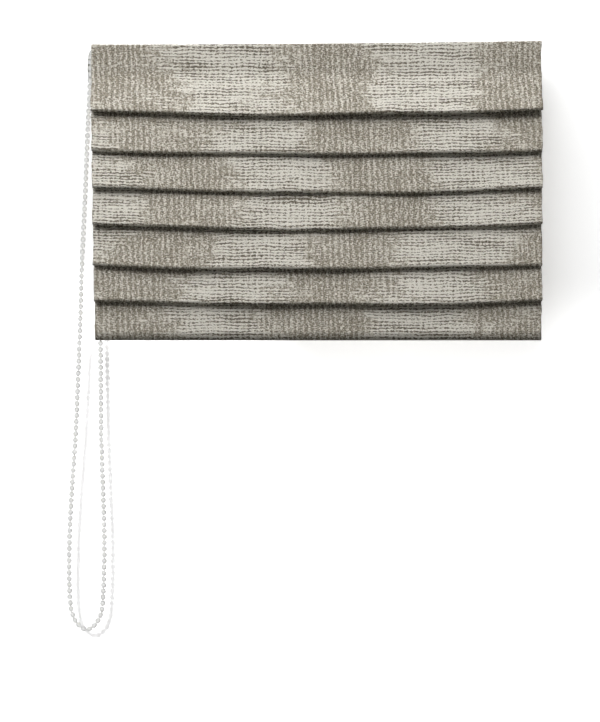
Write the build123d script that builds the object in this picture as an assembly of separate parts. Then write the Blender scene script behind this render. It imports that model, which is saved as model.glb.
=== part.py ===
from build123d import *
import math
import os

# A small roman blind with a bead chain: a headrail with a wrap spring clutch, two cord
# drums, a cloth that hangs in soft folds from ribs, and a weighted hem.
#
# Frame, in millimetres: +X runs to the right along the headrail, +Y goes into the wall and
# +Z is up. The origin is on the wall, at the centre of the four screw holes of the two wall
# brackets, level with the drive shaft. Everything in front of the wall has Y below 0, and
# "front" below is the distance from the wall, so Y = -front.

# How far a cutting body passes the face it cuts
OVERCUT = 1.0
# Points closer than this count as one when a corner is picked
TOUCH = 0.01

# Overall sizes
CLOTH_WIDTH = 440.0
CLOTH_THICKNESS = 1.6
CLOTH_TOP = 19.5
BLIND_BOTTOM = -269.7
EDGE_DRIFT_LEFT = 4.5
EDGE_DRIFT_RIGHT = 0.5

# Headrail, an aluminium extrusion with a T slot on top and an open chamber below
RAIL_LEFT = -214.4
RAIL_RIGHT = 216.5
RAIL_DEPTH = 30.0
RAIL_WALL = 1.3
RAIL_BACK = 9.0
CHAMBER_TOP = 10.5
CHAMBER_BOTTOM = -11.5
RAIL_LIP = 1.2
RAIL_LIP_WIDTH = 2.5
WEB = 1.0
SLOT_HEIGHT = 3.0
SLOT_LIP = 1.0
SLOT_OPENING = 13.0
RAIL_CORNER = 1.2

# Derived places of the rail
RAIL_FRONT = RAIL_BACK + RAIL_DEPTH
AXIS = RAIL_BACK + RAIL_DEPTH / 2
RAIL_BOTTOM = CHAMBER_BOTTOM - RAIL_LIP
SLOT_FLOOR = CHAMBER_TOP + WEB
SLOT_ROOF = SLOT_FLOOR + SLOT_HEIGHT
RAIL_TOP = SLOT_ROOF + SLOT_LIP
CHAMBER_DEPTH = RAIL_DEPTH - 2 * RAIL_WALL
INSERT_GAP = 0.2
INSERT_CORNER = 0.8
INSERT_DEPTH = CHAMBER_DEPTH - 2 * INSERT_GAP
INSERT_TOP = CHAMBER_TOP - INSERT_GAP
INSERT_BOTTOM = CHAMBER_BOTTOM + INSERT_GAP

# Wall brackets, pressed steel, and their swivel levers
BRACKET_X = 150.0
BRACKET_WIDTH = 22.0
BRACKET_SHEET = 1.6
BRACKET_LOW = -14.0
BRACKET_REACH = 34.0
BRACKET_BEND = 1.5
SCREW_SPACING = 16.0
SCREW_HOLE_RADIUS = 2.25
BRACKET_CORNER = 3.0
PLATE_TOP = 19.1
PLATE_BOTTOM = PLATE_TOP - BRACKET_SHEET
GUSSET = 5.5
GUSSET_WIDTH = 3.0
PIVOT_RADIUS = 2.5
PIVOT_GAP = 0.05
PIVOT_HEAD_RADIUS = 3.35
PIVOT_HEAD_HEIGHT = 0.8
LEVER_GAP = 0.3
LEVER_LOW = RAIL_TOP + LEVER_GAP
LEVER_HIGH = PLATE_BOTTOM - LEVER_GAP
LEVER_BOSS_RADIUS = 6.0
LEVER_REACH = 14.5
LEVER_TAB_WIDTH = 8.0
CAM_LENGTH = 22.0
CAM_WIDTH = 11.0
CAM_LOW = SLOT_FLOOR + 0.6
CAM_HIGH = SLOT_ROOF - 0.1
NECK_RADIUS = 4.0

# Bead chain and its wheel
BEAD_PITCH = 6.0
BEAD_RADIUS = 2.3
BEAD_SIDES = 6
BEAD_TAPER = 28.0
BEAD_HALF_LENGTH = 1.95
STRING_RADIUS = 0.65
STRING_SIDES = 3
STRING_GAP = 0.05
POCKETS = 16
WHEEL_X = -221.0
WHEEL_WIDTH = 6.0
WHEEL_RIM = 15.0
WHEEL_CHAMFER = 0.5
POCKET_RADIUS = 2.55
STRING_GROOVE_WIDTH = 2.2
STRING_GROOVE_FLOOR = 13.7
WHEEL_RECESS_INNER = 7.0
WHEEL_RECESS_OUTER = 11.6
WHEEL_RECESS_DEPTH = 1.8
WHEEL_SPOKES = 8
SPOKE_WIDTH = 1.4
POCKET_ANGLE = 360.0 / POCKETS
PITCH_RADIUS = BEAD_PITCH / (2 * math.sin(math.radians(POCKET_ANGLE / 2)))

# Clutch in the left end of the rail
FLANGE = 3.0
PLUG_LENGTH = 26.0
PLUG_BORE = 9.6
CORE_RADIUS = 6.6
CORE_LENGTH = 15.0
HUB_RADIUS = 4.95
RUNNING_GAP = 0.05
CUP_OUTER = 9.2
CUP_INNER = 7.8
CUP_WALL = 3.0
CUP_START = 1.0
HUB_OVERHANG = 1.0
SPRING_GRIP = 0.02
SPRING_START = 5.0
SPRING_WIRE_RADIAL = 0.7
SPRING_WIRE_AXIAL = 1.0
SPRING_PITCH = 1.6
SPRING_TURNS = 4

# Shaft, its right bearing, the cord drums and their cradles
SHAFT_SQUARE = 5.0
SQUARE_BORE = 5.1
SHAFT_SETBACK_LEFT = 1.0
SHAFT_SETBACK_RIGHT = 3.0
JOURNAL_RADIUS = 4.5
JOURNAL_COLLAR = 5.6
JOURNAL_COLLAR_WIDTH = 1.2
JOURNAL_COLLAR_GAP = 0.3
JOURNAL_END = 0.5
JOURNAL_BORE_SETBACK = 2.5
END_PLUG_LENGTH = 14.0
END_BOSS_RADIUS = 6.6
END_RIB = 1.4
DRUM_X = 140.0
DRUM_RADIUS = 8.0
DRUM_HALF_LENGTH = 15.0
DRUM_FLANGE_RADIUS = 10.0
DRUM_FLANGE = 1.5
DRUM_JOURNAL_RADIUS = 5.0
DRUM_JOURNAL_LENGTH = 4.0
CRADLE_GAP = 0.5
CRADLE_WALL = 2.0
CRADLE_SIDE = 1.2

# Lift cords
CORD_RADIUS = 0.7
WINDING_WIDTH = 8.0
WINDING_GAP = 0.05
KNOT_RADIUS = 2.2
KNOT_LENGTH = 4.0
KNOT_EDGE = 0.8
CORD_FRONT = AXIS + DRUM_RADIUS + CORD_RADIUS

# Hook and loop tapes that hold the cloth on the rail
TAPE_THICKNESS = 1.5
TAPE_LOW = -6.0
TAPE_HIGH = 14.0
TAPE_HALF_LENGTH = 214.0
CLOTH_FRONT = RAIL_FRONT + 2 * TAPE_THICKNESS + CLOTH_THICKNESS / 2

# Folds of the cloth: height of each fold's lowest line, and how far in front of the wall it hangs
FOLD_BOTTOMS = [-46.4, -84.8, -122.0, -158.0, -197.4, -232.1]
FOLD_FRONTS = [56.2, 54.6, 54.4, 54.4, 54.4, 54.2]
FOLD_HEIGHTS = [24.0, 28.0, 28.0, 28.0, 28.4, 28.0]
FOLD_SAG = 4.5
LOOP_RADIUS = 1.8
RIDGE_RADIUS = 1.2
LEAN_RADIUS = 30.0
LEAN_HEIGHT = -6.0
RIDGE_SETBACK = 0.2
RIDGE_REAR = CLOTH_FRONT - RIDGE_SETBACK
HEM_RADIUS = 2.4
HEM_HEIGHT = 26.0
STATIONS = [-1.0, -0.5, 0.0, 0.5, 1.0]

# Ribs in the folds
ROD_RADIUS = 2.0
ROD_HALF_LENGTH = 213.0
ROD_DROP = 3.0
POCKET_GAP = 0.05
POCKET_TAPE = 0.6
SEWING_GAP = 0.1
SEWING_LOW = 6.0
SEWING_HIGH = 1.0
POCKET_OUTER = ROD_RADIUS + POCKET_GAP + POCKET_TAPE
SEWING_FRONT = RIDGE_REAR - CLOTH_THICKNESS / 2 - SEWING_GAP
TAPE_BITE = 0.25
ROD_FRONT = SEWING_FRONT - POCKET_TAPE - POCKET_OUTER + TAPE_BITE
RING_OUTER = 3.2
RING_HOLE = 1.5
RING_HEIGHT = 3.0
CLIP_WALL = 1.15
CLIP_WIDTH = 5.0
CLIP_INNER = POCKET_OUTER + POCKET_GAP
CLIP_OUTER = CLIP_INNER + CLIP_WALL
CLIP_MOUTH = 2.15

# Bottom bar and the anchors that tie the lift cords to it
BAR_HEIGHT = 20.0
BAR_THICKNESS = 3.0
BAR_EDGE = 1.0
HEM_FRONT = RIDGE_REAR - HEM_RADIUS
HEM_CENTRE = BLIND_BOTTOM + CLOTH_THICKNESS / 2 + HEM_RADIUS
ANCHOR_WIDTH = 12.0
ANCHOR_LOW = -263.0
ANCHOR_HIGH = -248.0
ANCHOR_PLATE = 1.7
ANCHOR_CORNER = 2.0
ANCHOR_RING_HOLE = 1.0
ANCHOR_RING_LOW = -258.0
ANCHOR_RING_HEIGHT = 6.0

# Route of the hanging chain from the front of the wheel, round its lowest point and up to
# the back of the wheel, as points X, front, Z
CHAIN_ROUTE = [
    (WHEEL_X, AXIS + PITCH_RADIUS, 0),
    (-221.6, 38.9, -24),
    (-224.4, 37.6, -72),
    (-226.9, 35.2, -132),
    (-230.3, 32.8, -192),
    (-232.2, 30.9, -252),
    (-234.9, 28.9, -312),
    (-237.2, 27.4, -366),
    (-241.1, 26.2, -414),
    (-243.5, 25.2, -456),
    (-244.3, 24.5, -492),
    (-243.9, 24.1, -520),
    (-242.0, 24.0, -541),
    (-232.2, 23.9, -555.2),
    (-221.7, 23.8, -555.0),
    (-212.0, 23.8, -541.5),
    (-210.4, 23.7, -520),
    (-209.5, 23.5, -492),
    (-209.4, 22.8, -456),
    (-211.2, 21.6, -414),
    (-213.0, 20.2, -366),
    (-213.7, 18.4, -312),
    (-214.3, 16.6, -252),
    (-215.8, 14.6, -192),
    (-217.4, 12.4, -132),
    (-219.4, 10.3, -72),
    (-220.7, 9.1, -24),
    (WHEEL_X, AXIS - PITCH_RADIUS, 0),
]
ARC_SHARE = 0.45


def across(sketch, x_from, x_to):
    """Extrudes a section drawn with Y to the right and Z up, from x_from to x_to."""
    return extrude(Plane.YZ.offset(x_from) * sketch, amount=x_to - x_from)


def area(front_from, front_to, z_from, z_to):
    """A rectangle in the Y and Z section, given by its distances in front of the wall."""
    width = front_to - front_from
    height = z_to - z_from
    return Pos(-(front_from + front_to) / 2, (z_from + z_to) / 2) * Rectangle(width, height)


def round_bar(radius, x_from, x_to, front=AXIS, z=0.0):
    """A cylinder along X."""
    return across(Pos(-front, z) * Circle(radius), x_from, x_to)


def square_bar(size, x_from, x_to):
    """A square bar along X on the drive axis."""
    return across(Pos(-AXIS, 0) * Rectangle(size, size), x_from, x_to)


def rail_outline():
    """The outer outline of the rail, shared by the end fittings."""
    face = area(RAIL_BACK, RAIL_FRONT, RAIL_BOTTOM, RAIL_TOP)
    return fillet(face.vertices(), RAIL_CORNER)


def insert_outline():
    """The outline of what slides into the rail's chamber."""
    half = INSERT_DEPTH / 2
    face = area(AXIS - half, AXIS + half, INSERT_BOTTOM, INSERT_TOP)
    return fillet(face.vertices(), INSERT_CORNER)


def headrail():
    half = CHAMBER_DEPTH / 2
    chamber = area(AXIS - half, AXIS + half, CHAMBER_BOTTOM, CHAMBER_TOP)
    slot = area(AXIS - half, AXIS + half, SLOT_FLOOR, SLOT_ROOF)
    mouth_half = half - RAIL_LIP_WIDTH
    lower_mouth = area(AXIS - mouth_half, AXIS + mouth_half, RAIL_BOTTOM - OVERCUT, CHAMBER_BOTTOM)
    upper_half = SLOT_OPENING / 2
    upper_mouth = area(AXIS - upper_half, AXIS + upper_half, SLOT_ROOF, RAIL_TOP + OVERCUT)
    section = rail_outline() - chamber - slot - lower_mouth - upper_mouth
    return across(section, RAIL_LEFT, RAIL_RIGHT)


def wall_bracket(x):
    """An L of sheet steel: a leg with two screw holes and a plate over the rail."""
    leg = area(0, BRACKET_SHEET, BRACKET_LOW, PLATE_TOP)
    plate = area(0, BRACKET_REACH, PLATE_BOTTOM, PLATE_TOP)
    profile = leg + plate
    outer = [v for v in profile.vertices() if abs(v.X) < TOUCH and v.Y > PLATE_BOTTOM]
    profile = fillet(outer, BRACKET_BEND + BRACKET_SHEET)
    inner = [
        v for v in profile.vertices()
        if abs(v.X + BRACKET_SHEET) < TOUCH and abs(v.Y - PLATE_BOTTOM) < TOUCH
    ]
    profile = fillet(inner, BRACKET_BEND)
    body = across(profile, x - BRACKET_WIDTH / 2, x + BRACKET_WIDTH / 2)
    corner = (-BRACKET_SHEET, PLATE_BOTTOM)
    gusset = make_face(
        Polyline(
            corner,
            (corner[0] - GUSSET, corner[1]),
            (corner[0], corner[1] - GUSSET),
            close=True,
        )
    )
    body += across(gusset, x - GUSSET_WIDTH / 2, x + GUSSET_WIDTH / 2)
    for z in (-SCREW_SPACING / 2, SCREW_SPACING / 2):
        body -= Pos(x, 0, z) * Rot(90, 0, 0) * Cylinder(SCREW_HOLE_RADIUS, 4 * BRACKET_SHEET)
    body -= Pos(x, -AXIS, PLATE_BOTTOM) * Cylinder(PIVOT_RADIUS + PIVOT_GAP, 4 * BRACKET_SHEET)
    sink_height = PIVOT_HEAD_HEIGHT + PIVOT_GAP
    sink = Cone(
        PIVOT_RADIUS + PIVOT_GAP,
        PIVOT_HEAD_RADIUS + 2 * PIVOT_GAP,
        sink_height,
    )
    body -= Pos(x, -AXIS, PLATE_TOP - sink_height / 2) * sink
    front_corners = body.edges().filter_by(Axis.Z).group_by(Axis.Y)[0]
    return fillet(front_corners, BRACKET_CORNER)


def bracket_lever(x):
    """Cam, neck, finger tab and countersunk pivot in one riveted piece, shown locked."""
    tab_end = LEVER_REACH - LEVER_TAB_WIDTH / 2
    tab = Circle(LEVER_BOSS_RADIUS)
    tab += Pos(0, -tab_end / 2) * Rectangle(LEVER_TAB_WIDTH, tab_end)
    tab += Pos(0, -tab_end) * Circle(LEVER_TAB_WIDTH / 2)
    body = Pos(0, 0, LEVER_LOW) * extrude(tab, amount=LEVER_HIGH - LEVER_LOW)
    cam = Rot(0, 0, 90) * SlotOverall(CAM_LENGTH, CAM_WIDTH)
    body += Pos(0, 0, CAM_LOW) * extrude(cam, amount=CAM_HIGH - CAM_LOW)
    neck = extrude(Circle(NECK_RADIUS), amount=LEVER_LOW - CAM_HIGH)
    body += Pos(0, 0, CAM_HIGH) * neck
    post = extrude(Circle(PIVOT_RADIUS), amount=PLATE_TOP - LEVER_HIGH)
    body += Pos(0, 0, LEVER_HIGH) * post
    head = Cone(PIVOT_RADIUS, PIVOT_HEAD_RADIUS, PIVOT_HEAD_HEIGHT)
    body += Pos(0, 0, PLATE_TOP - PIVOT_HEAD_HEIGHT / 2) * head
    return Pos(x, -AXIS, 0) * body


def clutch_housing():
    """End flange, a plug for the rail's chamber and the fixed core that the spring grips."""
    left = RAIL_LEFT - FLANGE
    right = RAIL_LEFT + PLUG_LENGTH
    body = across(rail_outline(), left, RAIL_LEFT)
    body += across(insert_outline(), RAIL_LEFT, right)
    body -= round_bar(PLUG_BORE, RAIL_LEFT, right)
    body += round_bar(CORE_RADIUS, RAIL_LEFT, RAIL_LEFT + CORE_LENGTH)
    body -= round_bar(HUB_RADIUS + RUNNING_GAP, left - OVERCUT, right)
    return body


def wrap_spring():
    """The brake spring, a close coil of flat wire on the clutch core."""
    inner = CORE_RADIUS + SPRING_GRIP
    middle = inner + SPRING_WIRE_RADIAL / 2
    coil = Helix(SPRING_PITCH, SPRING_PITCH * SPRING_TURNS, middle)
    start = Plane(coil @ 0, x_dir=(1, 0, 0), z_dir=coil % 0)
    wire = start * Rectangle(SPRING_WIRE_RADIAL, SPRING_WIRE_AXIAL)
    body = sweep(wire, path=coil, is_frenet=True)
    place = Plane(origin=(RAIL_LEFT + SPRING_START, -AXIS, 0), x_dir=(0, 1, 0), z_dir=(1, 0, 0))
    return place * body


def clutch_driver():
    """The cup over the spring, fixed to the shaft."""
    left = RAIL_LEFT + CUP_START
    right = RAIL_LEFT + CORE_LENGTH + HUB_OVERHANG + CUP_WALL
    body = round_bar(CUP_OUTER, left, right)
    body -= round_bar(CUP_INNER, left, right - CUP_WALL)
    return body - square_bar(SQUARE_BORE, left, right)


def chain_wheel():
    """Pocket wheel with its hub: each pocket seats one bead of the chain."""
    left = WHEEL_X - WHEEL_WIDTH / 2
    right = WHEEL_X + WHEEL_WIDTH / 2
    hub_end = RAIL_LEFT + CORE_LENGTH + HUB_OVERHANG
    body = round_bar(WHEEL_RIM, left, right)
    body = chamfer(body.edges().filter_by(GeomType.CIRCLE), WHEEL_CHAMFER)
    groove_half = STRING_GROOVE_WIDTH / 2
    groove = round_bar(WHEEL_RIM + OVERCUT, WHEEL_X - groove_half, WHEEL_X + groove_half)
    body -= groove - round_bar(STRING_GROOVE_FLOOR, left, right)
    for i in range(POCKETS):
        turned = Pos(WHEEL_X, -AXIS, 0) * Rot(i * POCKET_ANGLE, 0, 0)
        body -= turned * Pos(0, PITCH_RADIUS, 0) * Rot(0, 90, 0) * Sphere(POCKET_RADIUS)
    recess = round_bar(WHEEL_RECESS_OUTER, left, left + WHEEL_RECESS_DEPTH)
    recess -= round_bar(WHEEL_RECESS_INNER, left, left + WHEEL_RECESS_DEPTH)
    for i in range(WHEEL_SPOKES // 2):
        spoke = Rot(0, 0, i * 360 / WHEEL_SPOKES) * Rectangle(2 * WHEEL_RIM, SPOKE_WIDTH)
        recess -= across(Pos(-AXIS, 0) * spoke, left, left + WHEEL_RECESS_DEPTH)
    body -= recess
    body += round_bar(HUB_RADIUS, right - OVERCUT, hub_end)
    return body - square_bar(SQUARE_BORE, left - OVERCUT, hub_end)


def drive_shaft():
    left = WHEEL_X - WHEEL_WIDTH / 2 + SHAFT_SETBACK_LEFT
    return square_bar(SHAFT_SQUARE, left, RAIL_RIGHT - SHAFT_SETBACK_RIGHT)


def end_cap():
    """Right end flange with a hollow plug, and a bearing boss held by four ribs."""
    plug_left = RAIL_RIGHT - END_PLUG_LENGTH
    body = across(rail_outline(), RAIL_RIGHT, RAIL_RIGHT + FLANGE)
    body += across(insert_outline(), plug_left, RAIL_RIGHT)
    hollow = offset(insert_outline(), amount=-END_RIB)
    hollow -= area(AXIS - RAIL_DEPTH, AXIS + RAIL_DEPTH, -END_RIB / 2, END_RIB / 2)
    hollow -= area(AXIS - END_RIB / 2, AXIS + END_RIB / 2, RAIL_BOTTOM, RAIL_TOP)
    hollow -= Pos(-AXIS, 0) * Circle(END_BOSS_RADIUS)
    body -= across(hollow, plug_left, RAIL_RIGHT)
    return body - round_bar(JOURNAL_RADIUS + RUNNING_GAP, plug_left, RAIL_RIGHT + OVERCUT)


def shaft_journal():
    """The round sleeve that lets the square shaft turn in the end cap."""
    collar_right = RAIL_RIGHT - END_PLUG_LENGTH - JOURNAL_COLLAR_GAP
    left = collar_right - JOURNAL_COLLAR_WIDTH
    body = round_bar(JOURNAL_RADIUS, left, RAIL_RIGHT + JOURNAL_END)
    body += round_bar(JOURNAL_COLLAR, left, collar_right)
    return body - square_bar(SQUARE_BORE, left, RAIL_RIGHT - JOURNAL_BORE_SETBACK)


def cord_drum(x):
    """A drum on the shaft that winds one lift cord."""
    flange_end = DRUM_HALF_LENGTH + DRUM_FLANGE
    journal_end = flange_end + DRUM_JOURNAL_LENGTH
    body = round_bar(DRUM_JOURNAL_RADIUS, x - journal_end, x + journal_end)
    body += round_bar(DRUM_FLANGE_RADIUS, x - flange_end, x + flange_end)
    body -= (
        round_bar(DRUM_FLANGE_RADIUS + OVERCUT, x - DRUM_HALF_LENGTH, x + DRUM_HALF_LENGTH)
        - round_bar(DRUM_RADIUS, x - DRUM_HALF_LENGTH, x + DRUM_HALF_LENGTH)
    )
    return body - square_bar(SQUARE_BORE, x - journal_end, x + journal_end)


def drum_cradle(x):
    """The frame that carries a drum's two journals in the rail, open above and below."""
    inner = DRUM_HALF_LENGTH + DRUM_FLANGE + CRADLE_GAP
    outer = inner + CRADLE_WALL
    body = across(insert_outline(), x - outer, x + outer)
    half = INSERT_DEPTH / 2 - CRADLE_SIDE
    well = area(AXIS - half, AXIS + half, RAIL_BOTTOM, RAIL_TOP)
    body -= across(well, x - inner, x + inner)
    return body - round_bar(DRUM_JOURNAL_RADIUS + RUNNING_GAP, x - outer, x + outer)


def rail_tape(front):
    """One half of the hook and loop tape along the rail's front face."""
    return across(
        area(front, front + TAPE_THICKNESS, TAPE_LOW, TAPE_HIGH),
        -TAPE_HALF_LENGTH,
        TAPE_HALF_LENGTH,
    )


def cloth_turns(sag):
    """The circles that the cloth's middle line winds round, as front, height and radius.

    A turn to the left, seen along the line from the top edge, has a positive radius. Seen
    from the side the cloth falls over the front of each loop and back over each ridge."""
    turns = [(CLOTH_FRONT, CLOTH_TOP, 0.0)]
    turns.append((CLOTH_FRONT + LEAN_RADIUS, LEAN_HEIGHT, LEAN_RADIUS))
    skin = CLOTH_THICKNESS / 2
    for bottom, front, height in zip(FOLD_BOTTOMS, FOLD_FRONTS, FOLD_HEIGHTS):
        low = bottom + sag + skin + LOOP_RADIUS
        turns.append((front - LOOP_RADIUS, low, -LOOP_RADIUS))
        turns.append((RIDGE_REAR + RIDGE_RADIUS, bottom + height, RIDGE_RADIUS))
    turns.append((HEM_FRONT, HEM_CENTRE, -HEM_RADIUS))
    turns.append((HEM_FRONT - HEM_RADIUS, HEM_CENTRE + HEM_HEIGHT, 0.0))
    return turns


def normals(turns):
    """The left normal of the straight run after each turn, as an angle."""
    angles = []
    for (f1, z1, r1), (f2, z2, r2) in zip(turns, turns[1:]):
        across_f = f2 - f1
        across_z = z2 - z1
        length = math.hypot(across_f, across_z)
        along = math.atan2(across_z, across_f)
        angles.append(along + math.pi / 2 - math.asin((r2 - r1) / length))
    return angles


def cloth_side(turns, side, place):
    """Edges of one face of the cloth, side millimetres to the left of its middle line."""
    angles = normals(turns)

    def at(turn, angle):
        front, height, radius = turn
        reach = radius - side
        return place(front - reach * math.cos(angle), height - reach * math.sin(angle))

    edges = []
    here = at(turns[0], angles[0])
    for i, turn in enumerate(turns[1:], start=1):
        arrive = at(turn, angles[i - 1])
        edges.append(Edge.make_line(here, arrive))
        here = arrive
        if i < len(angles):
            swing = (angles[i] - angles[i - 1]) % (2 * math.pi)
            if turn[2] < 0:
                swing -= 2 * math.pi
            middle = at(turn, angles[i - 1] + swing / 2)
            here = at(turn, angles[i])
            edges.append(Edge.make_three_point_arc(arrive, middle, here))
    return edges


def cloth_section(station):
    """The outline of the folded cloth at one station across its width, -1 to 1."""
    sag = FOLD_SAG * (station ** 2 - 1 / 3)
    drift = EDGE_DRIFT_LEFT if station < 0 else EDGE_DRIFT_RIGHT
    drift *= abs(station)

    def place(front, height):
        down = (CLOTH_TOP - height) / (CLOTH_TOP - BLIND_BOTTOM)
        x = station * CLOTH_WIDTH / 2 - math.copysign(drift, station) * down
        return Vector(x, -front, height)

    turns = cloth_turns(sag)
    left = cloth_side(turns, CLOTH_THICKNESS / 2, place)
    right = cloth_side(turns, -CLOTH_THICKNESS / 2, place)
    bottom_edge = Edge.make_line(left[-1] @ 1, right[-1] @ 1)
    top_edge = Edge.make_line(right[0] @ 0, left[0] @ 0)
    return Wire(left + [bottom_edge] + right + [top_edge])


def fabric():
    """The one length of cloth with all its folds and the hem pocket."""
    return Solid.make_loft([cloth_section(station) for station in STATIONS], ruled=True)


def cloth_length():
    """The cut length of the cloth, measured along its middle line at mid width."""
    turns = cloth_turns(-FOLD_SAG / 3)
    edges = cloth_side(turns, 0.0, lambda front, height: Vector(0, -front, height))
    return sum(edge.length for edge in edges)


def rod_height(index):
    return FOLD_BOTTOMS[index] + FOLD_HEIGHTS[index] - ROD_DROP


def rod(index):
    """A glass fibre rib."""
    z = rod_height(index)
    return round_bar(ROD_RADIUS, -ROD_HALF_LENGTH, ROD_HALF_LENGTH, ROD_FRONT, z)


def rod_tape(index):
    """The pocket tape round a rib, with the flange that is sewn to the cloth."""
    z = rod_height(index)
    ridge = z + ROD_DROP
    flange = area(
        SEWING_FRONT - POCKET_TAPE,
        SEWING_FRONT,
        ridge - SEWING_LOW,
        ridge + SEWING_HIGH,
    )
    section = Pos(-ROD_FRONT, z) * Circle(POCKET_OUTER) + flange
    section -= Pos(-ROD_FRONT, z) * Circle(ROD_RADIUS + POCKET_GAP)
    return across(section, -ROD_HALF_LENGTH, ROD_HALF_LENGTH)


def ring_clips(index):
    """Two moulded clips on a rib, each with the eye that guides a lift cord."""
    z = rod_height(index)
    reach = CLIP_OUTER + OVERCUT
    clips = []
    for x in (-DRUM_X, DRUM_X):
        ring = Pos(x, -CORD_FRONT, z) * Cylinder(RING_OUTER, RING_HEIGHT)
        half = CLIP_WIDTH / 2
        clip = round_bar(CLIP_OUTER, x - half, x + half, ROD_FRONT, z)
        clip -= round_bar(CLIP_INNER, x - half, x + half, ROD_FRONT, z)
        mouth = area(ROD_FRONT + CLIP_MOUTH, ROD_FRONT + reach, z - reach, z + reach)
        clip -= across(mouth, x - half, x + half)
        ring -= round_bar(CLIP_INNER, x - reach, x + reach, ROD_FRONT, z)
        hole = Pos(x, -CORD_FRONT, z) * Cylinder(RING_HOLE, 2 * CLIP_OUTER)
        clips.append((clip + ring) - hole)
    return Compound(children=[clip.solid() for clip in clips])


def bottom_bar():
    """The flat weight in the hem pocket."""
    half = BAR_THICKNESS / 2
    low = HEM_CENTRE
    face = area(HEM_FRONT - half, HEM_FRONT + half, low, low + BAR_HEIGHT)
    face = fillet(face.vertices(), BAR_EDGE)
    return across(face, -ROD_HALF_LENGTH, ROD_HALF_LENGTH)


def cord_anchors():
    """Two plates behind the hem, each with an eye that stops the knot of a lift cord."""
    hem_back = HEM_FRONT - HEM_RADIUS - CLOTH_THICKNESS / 2 - SEWING_GAP
    middle = ANCHOR_RING_LOW + ANCHOR_RING_HEIGHT / 2
    anchors = []
    for x in (-DRUM_X, DRUM_X):
        half = ANCHOR_WIDTH / 2
        plate = area(hem_back - ANCHOR_PLATE, hem_back, ANCHOR_LOW, ANCHOR_HIGH)
        body = across(plate, x - half, x + half)
        body = fillet(body.edges().filter_by(Axis.Y), ANCHOR_CORNER)
        body += Pos(x, -CORD_FRONT, middle) * Cylinder(RING_OUTER, ANCHOR_RING_HEIGHT)
        body -= Pos(x, -CORD_FRONT, middle) * Cylinder(ANCHOR_RING_HOLE, 2 * ANCHOR_RING_HEIGHT)
        anchors.append(body)
    return Compound(children=[anchor.solid() for anchor in anchors])


def lift_cord(x):
    """A lift cord: its turns on the drum as one sleeve, the straight fall and its knot."""
    half = WINDING_WIDTH / 2
    inner = DRUM_RADIUS + WINDING_GAP
    outer = inner + 2 * CORD_RADIUS
    body = round_bar(outer, x - half, x + half) - round_bar(inner, x - half, x + half)
    knot_top = ANCHOR_RING_LOW - SEWING_GAP
    knot_low = knot_top - KNOT_LENGTH
    fall = extrude(Circle(CORD_RADIUS), amount=-knot_low)
    body += Pos(x, -CORD_FRONT, knot_low) * fall
    knot = fillet(Cylinder(KNOT_RADIUS, KNOT_LENGTH).edges(), KNOT_EDGE)
    body += Pos(x, -CORD_FRONT, (knot_low + knot_top) / 2) * knot
    return body


def chain_line():
    """The hanging part of the chain as straight runs joined by large arcs."""
    points = [Vector(x, -front, z) for x, front, z in CHAIN_ROUTE]
    radii = []
    for before, here, after in zip(points, points[1:], points[2:]):
        half_turn = math.radians((here - before).get_angle(after - here)) / 2
        shorter = min((here - before).length, (after - here).length)
        radii.append(ARC_SHARE * shorter / math.tan(half_turn))
    print("chain arcs, smallest radius", round(min(radii), 1), "mm")
    return FilletPolyline(*points, radius=radii)


def bead_centres():
    """Bead centres: over the top of the wheel from back to front, then down and round."""
    centres = []
    for i in range(POCKETS // 2):
        angle = math.radians(i * POCKET_ANGLE)
        y = -AXIS + PITCH_RADIUS * math.cos(angle)
        centres.append(Vector(WHEEL_X, y, PITCH_RADIUS * math.sin(angle)))
    line = chain_line()
    count = round(line.length / BEAD_PITCH)
    print("chain", round(line.length), "mm hanging,", count + len(centres), "beads")
    centres += [line @ (i / count) for i in range(count)]
    return centres


def pull_chain():
    """The endless bead chain: low faceted beads and the string between them."""
    waist = RegularPolygon(BEAD_RADIUS, BEAD_SIDES)
    upper = extrude(waist, amount=BEAD_HALF_LENGTH, taper=BEAD_TAPER)
    bead = (upper + mirror(upper, Plane.XY)).solid()
    centres = bead_centres()
    solids = []
    for i, here in enumerate(centres):
        before = centres[i - 1]
        after = centres[(i + 1) % len(centres)]
        place = Plane(here, x_dir=(1, 0, 0), z_dir=after - before)
        solids.append(place.location * bead)
    for i, here in enumerate(centres):
        after = centres[(i + 1) % len(centres)]
        run = (after - here).normalized()
        length = (after - here).length - 2 * (BEAD_HALF_LENGTH + STRING_GAP)
        start = here + run * (BEAD_HALF_LENGTH + STRING_GAP)
        place = Plane(start, x_dir=(1, 0, 0), z_dir=run)
        string = extrude(RegularPolygon(STRING_RADIUS, STRING_SIDES), amount=length).solid()
        solids.append(place.location * string)
    return Compound(children=solids)


def write(name, shape):
    shape.label = name
    export_step(shape, f"parts/{name}.step")


os.makedirs("parts", exist_ok=True)
print("cloth cut length", round(cloth_length(), 1), "mm")
print("payout per turn", round(2 * math.pi * (DRUM_RADIUS + CORD_RADIUS), 3), "mm")

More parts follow.
